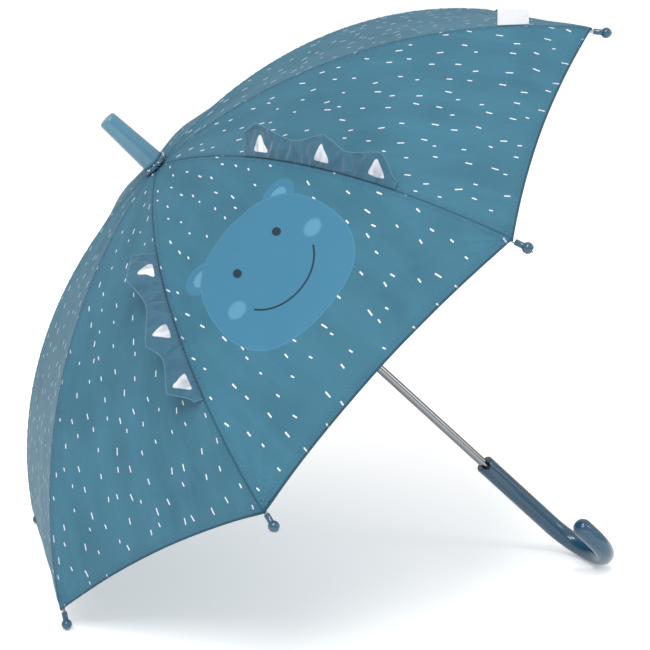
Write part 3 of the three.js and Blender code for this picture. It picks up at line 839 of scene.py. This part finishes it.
def smiling_patch(cloth, across, along):
    """Prints the patch and its face, and returns its area: 1 on the patch and 0 beside it."""
    x, y = across - PATCH_ACROSS, along - PATCH_DOWN / 1000
    flare = abs(x) / (y * PATCH_FLARE + PATCH_HALF_WIDTH)
    outline = flare ** 2.4 + (abs(y) / PATCH_HALF_HEIGHT) ** 2.4

    def distance(spot, squash=1.0):
        aside, down = abs(x) - spot[0], y - spot[1]
        return (aside * aside + down * down * squash).combine("SQRT")

    ears = distance(EAR)
    on_patch = outline.below(1.0, 0.012).combine("MAXIMUM", ears.below(EAR_RADIUS, 0.0003))
    cloth.tint(on_patch, PATCH_BLUE)
    cloth.tint(abs(outline - 0.985).below(0.016, 0.012) * 0.3, RIM_BLUE)
    cloth.tint(distance(CHEEK).below(CHEEK_RADIUS, 0.0016) * 0.5, BLUSH)
    outside = outline.below(1.03, 0.03).spread(1.0, 0.0)
    cloth.tint(ears.below(INNER_EAR_RADIUS, 0.0008) * outside * 0.6, BLUSH)
    cloth.tint(distance(EYE, EYE_SQUASH).below(EYE_RADIUS, 0.0002), INK)
    smile = abs((x * x + y * y).combine("SQRT") - SMILE_RADIUS).below(SMILE_LINE, 0.0002)
    cloth.tint(smile * (-y).below(-SMILE_TOP, 0.0004), INK)
    return on_patch


def printed_cloth(name, colour, offset=(0.0, 0.0), printing=1.0, patch=False):
    cloth = Finish(name, colour, 0.62, constants={
        "Sheen Weight": 0.05, "Sheen Roughness": 0.4, "Specular IOR Level": 0.14})
    place = cloth.map_place("cloth")
    seam, hem, _ = cloth.axes(cloth.map_place("edges"))
    across, along, _ = cloth.axes(place)
    shade = cloth.speckle(place, 16.0, 3.0)
    cloth.tint(shade.spread(-1.0, 1.4), "315C70")
    cloth.tint(cloth.speckle(cloth.stretched(place, (1.0, 0.05, 1.0)), 1500.0).spread(-0.2, 0.3), "447386")
    moved = cloth.node("Mapping", {"Vector": place, "Location": (*offset, 0.0)}).outputs["Vector"]
    crease = cloth.speckle(cloth.stretched(place, (1.0, 0.28, 1.0), 0.6), 34.0, 3.0)
    # Painted light and shade on the creases: the colour lightens where the crease pattern that also gives the
    # relief is high.
    cloth.tint(crease.spread(-0.9, 1.1), "3F7388")
    dashes = dash_marks(cloth, moved, 0.0203, 0.0028, 0.0064, 0.0006, radians(15)) * printing
    if patch:
        dashes = dashes * (-smiling_patch(cloth, across, along) + 1.0)
    cloth.tint(dashes, PRINT_WHITE)
    # Painted shade along each seam: a darker band beside it and a dark line on it.
    cloth.tint(seam.below(0.0045, 0.0012) * 0.22, "2C5268")
    cloth.tint(seam.below(0.0007, 0.0004) * 0.8, "1F3E50")
    cloth.tint(hem.below(0.0072, 0.0006) * 0.15, "2C5268")
    cloth.tint(hem.below(0.0017, 0.0006) * 0.85, "243F50")
    cloth.gloss(shade.spread(0.54, 0.7))
    cloth.relief((crease, 0.0011), (woven(cloth, place), 0.00003))
    return cloth


lining = printed_cloth("canopy_inside", "4A7182", (0.3, 0.7), 0.35)
panel_cloths = {n: printed_cloth(f"canopy_cloth_{n}", "376679", (0.41 * n, 0.23 * n), 1.0, n == 2)
                for n in range(1, RIB_COUNT + 1)}
HEM_FOLD = 7.0
row_steps = np.concatenate([np.linspace(0, 0.955, 74), np.linspace(0.964, 1.0, 6)])
half_steps = 1 - np.linspace(0, 1, 27) ** 1.55
stitching_jobs = []


def fold_with_rib(piece, number, side, rib):
    """Bakes the piece's placing into its points and works out each point's share from the rib: the
    half is a wedge, so a point's share is its angle round the shaft from seam to middle line."""
    start = in_room([(150, 0, 100)], rib_azimuth(rib))[0]
    end = in_room([(150, 0, 100)], rib_azimuth(rib) + side * HALF_PANEL)[0]
    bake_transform(piece)
    points = from_room([vertex.co[:] for vertex in piece.data.vertices])
    angle = np.arctan2(points[:, 1], points[:, 0]) - rib_azimuth(rib)
    angle = (angle + pi) % (2 * pi) - pi
    share = np.clip(side * angle / HALF_PANEL, 0, 1)


def cloth_thickness(across, along):
    _, _, hem = canopy_measures(across, along)
    return 0.55 + 0.55 / (1 + np.exp((hem - HEM_FOLD) * 1.5))


for number in range(1, RIB_COUNT + 1):
    next_rib = number % RIB_COUNT + 1
    middle = rib_azimuth(number) + HALF_PANEL
    for letter, side, rib in (("a", 1, number), ("b", -1, next_rib)):
        columns = np.sort(-half_steps) if letter == "a" else np.sort(half_steps)
        shape = cloth_shape(lambda s, t: canopy_point(number, s, t), columns, row_steps, cloth_thickness)
        across, along = shape[3]
        turn, seam, hem = canopy_measures(across, along)
        maps = {"cloth": (panel_half(turn) * across / 1000, CANOPY_ARC * turn / 1000),
                "edges": (seam / 1000, hem / 1000)}
        half = cloth_piece(f"canopy_{number}_{letter}", shape, maps, panel_cloths[number], lining, middle)
        fold_with_rib(half, number, side, rib)
        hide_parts(f"panel_{number}_{letter}")
        stitching_jobs.append((half, number, letter, side, rib, middle))


# Stitching of the canopy: blue thread along the folded hem and beside every seam, one short
# stitch after another. A row is laid by a node tree along its line.
def stitch_tree():
    tree = bpy.data.node_groups.new("stitch_row", "GeometryNodeTree")
    for name, kind in (("Line", "Geometry"), ("Spacing", "Float"), ("Length", "Float"),
                       ("Thickness", "Float"), ("Seed", "Int"), ("Thread", "Material")):
        tree.interface.new_socket(name, in_out="INPUT", socket_type="NodeSocket" + kind)
    tree.interface.new_socket("Stitches", in_out="OUTPUT", socket_type="NodeSocketGeometry")
    made = {}
    for name, kind in (("given", "NodeGroupInput"), ("result", "NodeGroupOutput"),
                       ("curve", "GeometryNodeMeshToCurve"), ("even", "GeometryNodeResampleCurve"),
                       ("points", "GeometryNodeCurveToPoints"), ("stitch", "GeometryNodeMeshIcoSphere"),
                       ("lay", "GeometryNodeInstanceOnPoints"),
                       ("along", "FunctionNodeAlignRotationToVector"),
                       ("size", "ShaderNodeCombineXYZ"), ("vary", "FunctionNodeRandomValue"),
                       ("longer", "ShaderNodeMath"), ("real", "GeometryNodeRealizeInstances"),
                       ("thread", "GeometryNodeSetMaterial"), ("shade", "GeometryNodeSetShadeSmooth")):
        made[name] = tree.nodes.new(kind)
    made["even"].mode = "LENGTH"
    made["points"].mode = "EVALUATED"
    made["along"].axis = "X"
    made["stitch"].inputs["Radius"].default_value = 0.5
    made["stitch"].inputs["Subdivisions"].default_value = 1
    made["longer"].operation = "MULTIPLY"
    made["vary"].inputs[2].default_value, made["vary"].inputs[3].default_value = 0.85, 1.12

    for source, output, target, entry in (
            ("given", "Line", "curve", "Mesh"), ("curve", "Curve", "even", "Curve"),
            ("given", "Spacing", "even", "Length"), ("even", "Curve", "points", "Curve"),
            ("points", "Points", "lay", "Points"), ("points", "Tangent", "along", "Vector"),
            ("along", "Rotation", "lay", "Rotation"), ("stitch", "Mesh", "lay", "Instance"),
            ("given", "Seed", "vary", "Seed"), ("vary", 1, "longer", 0),
            ("given", "Length", "longer", 1), ("longer", 0, "size", 0),
            ("given", "Thickness", "size", 1), ("given", "Thickness", "size", 2),
            ("size", 0, "lay", "Scale"), ("lay", "Instances", "real", "Geometry"),
            ("real", "Geometry", "shade", "Geometry"), ("shade", 0, "thread", "Geometry"),
            ("given", "Thread", "thread", "Material"), ("thread", "Geometry", "result", "Stitches")):
        tree.links.new(made[source].outputs[output], made[target].inputs[entry])
    return tree


stitch_row = stitch_tree()


def stitches(name, lines, finish, spacing=0.0031, length=0.0023, thickness=0.00042, seed=1):
    """Lays stitches along lines of room points and returns them as one plain mesh."""
    mesh = bpy.data.meshes.new(name)
    points, edges = [], []
    for line in lines:
        edges += [(len(points) + k, len(points) + k + 1) for k in range(len(line) - 1)]
        points += [tuple(p) for p in line]
    mesh.from_pydata(points, edges, [])
    piece = put_in_scene(name, mesh)
    row = piece.modifiers.new("stitches", "NODES")
    row.node_group = stitch_row
    values = {"Spacing": spacing, "Length": length, "Thickness": thickness, "Seed": seed,
              "Thread": finish.material}
    for socket in stitch_row.interface.items_tree:
        if socket.name in values:
            row[socket.identifier] = values[socket.name]
    plain_mesh(piece)
    return piece


def thread_finish(name, colour, light):
    thread = Finish(name, colour, 0.6, constants={"Sheen Weight": 0.2})
    twist = thread.speckle(thread.own_place(), 2200.0, 2.0)
    thread.tint(twist.spread(0.0, 0.6), light)
    thread.relief((twist, 0.00005))
    return thread


blue_thread = thread_finish("blue_thread", "3B6B84", "5A8CA5")
HEM_STITCH, SEAM_STITCH = 6.0, 2.7
for half, number, letter, side, rib, middle in stitching_jobs:
    sign = -1 if letter == "a" else 1
    hem_across = sign * np.linspace(0.004, 0.985, 60)
    _, _, hem_span = canopy_measures(hem_across, np.zeros(60))
    hem_line = canopy_point(number, hem_across, 1 - HEM_STITCH / hem_span, 0.1)
    seam_along = np.linspace(0.1, 0.975, 150)
    seam_turn = canopy_measures(np.full(150, sign * 1.0), seam_along)[0]
    seam_across = sign * (1 - SEAM_STITCH / panel_half(seam_turn))
    seam_line = canopy_point(number, seam_across, seam_along, 0.1)
    sewing = stitches(f"canopy_{number}_{letter}_stitching",
                      [in_room(line, middle) for line in (hem_line, seam_line)], blue_thread, seed=number)
    fold_with_rib(sewing, number, side, rib)


# Fins: two strips of plain darker cloth with three peaks each, turned out, lightly filled and
# sewn into the seams on both sides of the smiling panel. The filling swells them between their
# edges, a narrow piping follows the peaks, and a white rounded triangle is printed on each peak.
# The piping's lighter colour is a painted highlight along the peaks' edges, and a painted shade
# darkens each fin along its foot and its creases.
FIN_START, FIN_END = 134.0, 270.0
FIN_LEAN = radians(45)
FIN_FOOT, FIN_SEAM = 2.6, 0.4
FIN_OUTLINE = ((0, 17), (0.12, 24), (0.36, 14), (0.58, 23), (0.71, 14.5), (0.905, 21), (1, 5))
FIN_VALLEYS = (0.36, 0.71)
FIN_SWAY = {2: 4.5, 3: -3.5}
FIN_FIRST_TURN, FIN_LAST_TURN = asin(FIN_START / CANOPY_ARC), asin(FIN_END / CANOPY_ARC)
FIN_LENGTH = (FIN_LAST_TURN - FIN_FIRST_TURN) * CANOPY_ARC / 1000


def fin_height(along):
    """The top edge swings from one point of the outline to the next, and is sharper at the peaks."""
    height = np.zeros_like(along)
    for (start, low), (stop, high) in zip(FIN_OUTLINE, FIN_OUTLINE[1:]):
        here = (along >= start) & (along <= stop)
        share = np.clip((along[here] - start) / (stop - start), 0, 1)
        climb = share if high > low else 1 - share
        climb = 0.45 * (0.5 - 0.5 * np.cos(pi * climb)) + 0.55 * climb ** 1.5
        height[here] = min(low, high) + abs(high - low) * climb
    return FIN_FOOT + height


def fin_point(number, along, height, out):
    """height above the seam within the fin, and out from its middle surface."""
    side = -1 if number == 2 else 1
    sway = FIN_SWAY[number] * (1 - along ** 4) * np.minimum(1, along * 12) * (height / 22) ** 2
    along = along + sway / (FIN_END - FIN_START)
    turn = FIN_FIRST_TURN + (FIN_LAST_TURN - FIN_FIRST_TURN) * along
    lean = side * FIN_LEAN
    normal = np.stack([np.sin(turn), 0 * turn, np.cos(turn)], -1)
    sideways = np.array([0.0, 1.0, 0.0])
    rise = normal * cos(lean) + sideways * sin(lean)
    through = sideways * cos(lean) - normal * sin(lean)
    return normal * CANOPY_ARC + rise * height[..., None] + through * out[..., None] + [0, 0, DOME_CENTRE]


FIN_COLUMNS, FIN_ROWS = 92, 16
fin_along, fin_up = np.meshgrid(np.linspace(0, 1, FIN_COLUMNS + 1), np.linspace(0, 1, FIN_ROWS + 1))
fin_grid = np.arange(fin_along.size).reshape(fin_along.shape)
fin_border = border_of(fin_grid)
FILLING_PRESSURE, MOST_SWELL, FILLING_FRAMES = 3.0, 1.5, 20


def swell(piece, sewn, pressure, most):
    """Blows the fin up like its filling does: the sewn border stays, and no point moves further
    than most millimetres."""
    before = np.array([vertex.co[:] for vertex in piece.data.vertices])
    border = piece.vertex_groups.new(name="sewn")
    border.add([int(k) for k in sewn], 1.0, "REPLACE")
    cloth = piece.modifiers.new("filling", "CLOTH")
    cloth.settings.quality = 7
    cloth.settings.mass = 0.15
    cloth.settings.tension_stiffness = cloth.settings.compression_stiffness = 8.0
    cloth.settings.bending_stiffness = 0.05
    cloth.settings.shrink_min = -0.05
    cloth.settings.vertex_group_mass = "sewn"
    cloth.settings.use_pressure = True
    cloth.settings.uniform_pressure_force = pressure
    cloth.settings.effector_weights.gravity = 0.0
    cloth.point_cache.frame_start, cloth.point_cache.frame_end = 1, FILLING_FRAMES
    for step in range(1, FILLING_FRAMES + 1):
        scene.frame_set(step)
    swollen = piece.evaluated_get(bpy.context.evaluated_depsgraph_get())
    after = np.array([vertex.co[:] for vertex in swollen.data.vertices])
    piece.modifiers.remove(cloth)
    piece.vertex_groups.clear()
    scene.frame_set(1)
    moved = after - before
    length = np.linalg.norm(moved, axis=1)[:, None] * 1000
    moved *= np.minimum(1, most / np.maximum(length, 1e-9))
    piece.data.vertices.foreach_set("co", (before + moved).astype(np.float32).ravel())
    piece.data.update()


def rounded_triangle(x, y, half_base, height, corner):
    """1 inside a triangle with soft corners, whose base lies on y = 0 and whose point is up."""
    slant = hypot(half_base, height)
    right = (x * height + y * half_base - half_base * height) / slant
    left = (x * -height + y * half_base - half_base * height) / slant
    sides = right.combine("SMOOTH_MAX", left, corner * 2)
    return sides.combine("SMOOTH_MAX", -y, corner * 2).below(0.0, 0.0003)


fin_cloth = Finish("fin_cloth", "285B71", 0.78, constants={"Sheen Weight": 0.35, "Sheen Roughness": 0.45})
fin_place = fin_cloth.map_place("cloth")
fin_x, fin_y, _ = fin_cloth.axes(fin_place)
fin_shade = fin_cloth.speckle(fin_place, 60.0, 4.0)
fin_cloth.tint(fin_shade.spread(-0.2, 0.7), "214E63")
MARK_PLACES = ((0.135, 0.0046), (0.56, 0.0056), (0.885, 0.005))
MARK_HALF_BASE, MARK_HEIGHT, MARK_CORNER = 0.0084, 0.0142, 0.0024
for peak, foot in MARK_PLACES:
    mark = rounded_triangle(fin_x - peak * FIN_LENGTH, fin_y - foot, MARK_HALF_BASE, MARK_HEIGHT, MARK_CORNER)
    fin_cloth.tint(mark, PRINT_WHITE)
# Painted shade: a darker band along the fin's foot, where it is sewn into the canopy.
fin_cloth.tint(fin_y.below(0.0022, 0.0008) * 0.5, "274A5E")
fin_creases_and_painted_shade = fin_cloth.speckle(fin_cloth.stretched(fin_place, (1.0, 0.45, 1.0), 0.35), 75.0, 2.0)
fin_cloth.gloss(fin_shade.spread(0.66, 0.86))
# Painted shade on the creases: the cloth darkens where the crease pattern that also gives the relief is high.
fin_cloth.tint((fin_creases_and_painted_shade - 0.4).spread(-0.1, 2.2), "224F64")
fin_cloth.relief((fin_creases_and_painted_shade, 0.0009), (woven(fin_cloth, fin_place), 0.00004))
# The piping is a real cord, but its lighter colour is a painted highlight along the peaks' edges.
piping_cloth_painted_highlight = Finish("fin_piping_painted_highlight", "38677D", 0.7, constants={"Sheen Weight": 0.3})
piping_twist = piping_cloth_painted_highlight.speckle(piping_cloth_painted_highlight.own_place(), 1500.0, 2.0)
piping_cloth_painted_highlight.tint(piping_twist.spread(0.0, 0.5), "456F87")
piping_cloth_painted_highlight.relief((piping_twist, 0.00006))
fin_thread = thread_finish("fin_thread", "345B72", "4D7C95")
for number in (2, 3):
    top = fin_height(fin_along)
    height = FIN_SEAM + (top - FIN_SEAM) * fin_up
    inside = np.sin(pi * np.clip(fin_up, 0, 1)) ** 0.6 * np.sin(pi * fin_along) ** 0.25
    fullness = np.clip((top - FIN_FOOT - 12) / 12, 0, 1)
    half = 0.3 + (0.45 + 0.5 * fullness) * inside
    ripple = 1.1 * np.sin(fin_along * 27 + 3 * fin_up + number) * fin_up * (1 - 0.5 * fin_up) * (1 - fullness)
    for valley in FIN_VALLEYS:
        beside = (fin_along - valley) * (FIN_END - FIN_START)
        fan = np.arctan2(top * (1 - fin_up) + 2, beside)
        near = np.hypot(top * (1 - fin_up), beside)
        ripple = ripple + (0.5 * np.sin(fan * 9 + number) * np.exp(-near / 13)
                           * np.minimum(near / 3, 1) * inside)
    fin_points = [fin_point(number, fin_along, height, ripple + out * half).reshape(-1, 3) for out in (1, -1)]
    count = fin_along.size
    faces = []
    for row in range(FIN_ROWS):
        for k in range(FIN_COLUMNS):
            ring = (fin_grid[row, k], fin_grid[row, k + 1], fin_grid[row + 1, k + 1], fin_grid[row + 1, k])
            faces += [tuple(int(c) for c in ring), tuple(int(c) + count for c in reversed(ring))]
    for a, b in zip(fin_border, fin_border[1:] + fin_border[:1]):
        faces.append((int(b), int(a), int(a) + count, int(b) + count))
    fin_shape = (np.concatenate(fin_points), faces)
    fin = piece_from(f"fin_{number}", fin_shape, fin_cloth, rib_azimuth(number), 60)
    sewn = [k + face * count for k in fin_border for face in (0, 1)]
    swell(fin, sewn, FILLING_PRESSURE, MOST_SWELL)
    lay_map(fin.data, "cloth", fin_along * FIN_LENGTH, height / 1000)
    finer = fin.modifiers.new("finer", "SUBSURF")
    finer.levels = finer.render_levels = 1
    plain_mesh(fin)
    fasten(fin, f"rib_{number}", "fin_cloth", f"fin_strip_{number}")

    edge_along = np.concatenate([[0.0] * 8, np.linspace(0, 1, 160), [1.0] * 8])
    edge_top = fin_height(edge_along)
    edge_height = np.concatenate([np.linspace(FIN_SEAM, edge_top[0], 9)[:-1], edge_top[8:-8],
                                  np.linspace(edge_top[-1], FIN_SEAM, 9)[1:]])
    edge = in_room(fin_point(number, edge_along, edge_height, 0 * edge_height), rib_azimuth(number))
    cord = bpy.data.curves.new(f"fin_{number}_piping", "CURVE")
    cord.dimensions, cord.bevel_depth, cord.bevel_resolution = "3D", 0.00045, 2
    cord.use_fill_caps = True
    line = cord.splines.new("POLY")
    line.points.add(len(edge) - 1)
    line.points.foreach_set("co", np.c_[edge, np.ones(len(edge))].ravel())
    drawn = put_in_scene("piping_line", cord)
    bpy.context.view_layer.update()
    piping_mesh = bpy.data.meshes.new_from_object(drawn.evaluated_get(bpy.context.evaluated_depsgraph_get()))
    bpy.data.objects.remove(drawn)
    piping_mesh.materials.clear()
    piping_mesh.materials.append(piping_cloth_painted_highlight.material)
    smooth(piping_mesh, 60)
    piping = put_in_scene(f"fin_{number}_piping", piping_mesh)
    fasten(piping, f"rib_{number}", "fin_cloth")
    seam_lines = []
    for out in (1, -1):
        inner_along = np.linspace(0.03, 0.97, 150)
        inner_height = fin_height(inner_along) - 2.2
        seam_points = fin_point(number, inner_along, inner_height, out * (0.75 + 0 * inner_along))
        seam_lines.append(in_room(seam_points, rib_azimuth(number)))
    topstitch = stitches(f"fin_{number}_stitching", seam_lines, fin_thread, 0.0029, 0.0021, 0.0004,
                         30 + number)
    fasten(topstitch, f"rib_{number}", "fin_cloth")


# Label: a short white tape folded in two and caught in the seam of the fourth rib, left blank,
# with a line of white stitches round its edge.
LABEL_WIDTH, LABEL_HEIGHT, LABEL_RISE, LABEL_GAP = 25.0, 13.0, 0.7, 0.28
LABEL_REACH, SEAM_ARC = 298.0, 449.4
label_turn = asin(LABEL_REACH / SEAM_ARC)
label_foot = on_arc(CANOPY_ARC + LABEL_RISE, label_turn)
label_along = np.array([cos(label_turn), -sin(label_turn)])
label_out = np.array([sin(label_turn), cos(label_turn)])


def label_point(across, along):
    """across runs over the tape's width, along goes up one face, over the fold and down."""
    path = (along - 0.5) * 2
    rounding = LABEL_HEIGHT * (1 - np.abs(path) ** 6) * 0.04
    up = rounding + LABEL_HEIGHT * 0.96 * np.minimum(1, (1 - np.abs(path)) * 1.045)
    wave = LABEL_GAP * np.sin(across * 2.2 + 0.6) * np.minimum(1, up / 9)
    open_by = LABEL_GAP * np.tanh(path * 14) + wave
    away = -across * LABEL_WIDTH / 2
    return np.stack([label_foot[0] + label_along[0] * away + label_out[0] * up, open_by,
                     label_foot[1] + label_along[1] * away + label_out[1] * up], -1)


tape = Finish("white_tape", "F0EFF2", 0.7, constants={"Sheen Weight": 0.25})
tape_place = tape.map_place("cloth")
tape_mottle = tape.speckle(tape_place, 220.0, 3.0)
tape.tint(tape_mottle.spread(-0.1, 0.5), "DDDCE0")
tape.gloss(tape_mottle.spread(0.6, 0.8))
tape.relief((tape_mottle, 0.0002), (woven(tape, tape_place), 0.00006))
label_rows = np.unique(np.concatenate([
    np.linspace(0, 0.46, 12), np.linspace(0.46, 0.54, 17), np.linspace(0.54, 1, 12)]))
label_shape = cloth_shape(label_point, np.linspace(-1, 1, 19), label_rows, 0.22)
tape_across, tape_along = label_shape[3]
tape_maps = {"cloth": (tape_across * LABEL_WIDTH / 2000, tape_along * 2 * LABEL_HEIGHT / 1000)}
label = cloth_piece("blank_label", label_shape, tape_maps, tape, azimuth=rib_azimuth(4))
fasten(label, "rib_4", "white_tape", "label")
white_thread = thread_finish("white_thread", "E4E2E8", "F6F5F8")
border = [(-0.84, 0.06), (-0.84, 0.44), (0.84, 0.44), (0.84, 0.06)]
label_lines = []
for mirror in (False, True):
    line = []
    for (x0, y0), (x1, y1) in zip(border, border[1:]):
        xs, ys = np.linspace(x0, x1, 12), np.linspace(y0, y1, 12)
        ys = 1 - ys if mirror else ys
        line.append(label_point(xs, ys) + [0, 0.06 if mirror else -0.06, 0])
    label_lines.append(in_room(np.concatenate(line), rib_azimuth(4)))
label_sewing = stitches("blank_label_stitching", label_lines, white_thread, 0.0017, 0.0012, 0.00034, 44)
fasten(label_sewing, "rib_4", "white_tape")


# Tie strap: a band of canopy cloth sewn to the hem opposite the smile. It hangs free from the
# open hem, and wraps the closed umbrella, held by a steel press stud.
STRAP_WIDTH, STRAP_LENGTH, STRAP_THICKNESS = 14.0, 110.0, 0.9
STRAP_SEAM, HEM_MIDDLE = 20.5, 17.0
strap_out = np.array([0, -1.0, 0])
strap_top = np.array([0, -(HEM_REACH - 6) * cos(HALF_PANEL) - 1.0, 16.0])
strap_down = STAND.T @ np.array([0, 0, -1.0])
strap_sideways = np.cross(strap_out, strap_down)
ROUND_END = 0.96


def strap_point(across, along):
    curl = 0.9 * np.sin(along * 3.0) * along
    rounded = np.sqrt(np.clip(1 - ((along - ROUND_END) / 0.055) ** 2, 0, 1))
    width = STRAP_WIDTH / 2 * np.where(along > ROUND_END, rounded, 1)
    start = (strap_top[2] + strap_sideways[2] * across * width - STRAP_SEAM) / -strap_down[2]
    place = strap_top + strap_down * (start + (STRAP_LENGTH - start) * along)[..., None]
    place = place + strap_sideways * (across * width)[..., None]
    place[..., 1] += 0.82 * np.maximum(place[..., 2] - HEM_MIDDLE, 0)
    return place + strap_out * (0.45 + curl * (1 - 0.15 * across ** 2))[..., None]


strap_cloth = printed_cloth("strap_cloth", "376679", (5.3, 1.9), 1.0)
strap_rows = np.concatenate([np.linspace(0, 0.95, 44), np.linspace(0.957, 1, 9)])
strap_shape = cloth_shape(strap_point, np.linspace(-1, 1, 9), strap_rows, STRAP_THICKNESS)
strap_across, strap_along = strap_shape[3]
from_side = (1 - np.abs(strap_across)) * STRAP_WIDTH / 2000 + 0.002
from_end = (1 - strap_along) * STRAP_LENGTH / 1000 + 0.01
strap = cloth_piece("strap", strap_shape, {
    "cloth": (strap_across * STRAP_WIDTH / 2000, strap_along * STRAP_LENGTH / 1000),
    "edges": (from_side, from_end)}, strap_cloth)
fasten(strap, "panel_6_a", "canopy_cloth", "tie_strap")
strap_lines = []
for outer in (True, False):
    for across in (-0.78, 0.78):
        along = np.linspace(0.03, 0.95, 90)
        off = 0.06 if outer else -STRAP_THICKNESS - 0.06
        strap_lines.append(in_room(strap_point(np.full(90, across), along) + strap_out * off))
strap_sewing = stitches("strap_stitching", strap_lines, blue_thread, seed=61)
fasten(strap_sewing, "panel_6_a", "canopy_cloth")


def on_strap(shape, distance, outward):
    """A spun shape set on the strap, facing outwards."""
    points, faces = shape
    base = strap_top + strap_down * distance
    return [base + strap_sideways * x + strap_down * y + strap_out * (z + outward)
            for x, y, z in points], faces


socket_half = piece_from("press_socket", on_strap(spun([
    (0, 0), (4.6, 0), (5, 0.4), (4.9, 1.3), (4.2, 1.8), (3.3, 1.9), (2.9, 1.5), (1.7, 1.45), (1.6, 0.6),
    (0, 0.6)]), STRAP_LENGTH - 9, 1.5), chrome)
fasten(socket_half, "panel_6_a", "bright_steel", "snap_socket")
stud_half = piece_from("press_stud", on_strap(spun([
    (0, 0), (4.6, 0), (5, 0.35), (4.8, 0.75), (2.2, 0.9), (1.5, 1.1), (1.6, 1.7), (1.3, 2.1),
    (0, 2.2)]), 30, 1.2), chrome)
fasten(stud_half, "panel_6_a", "bright_steel", "snap_stud")
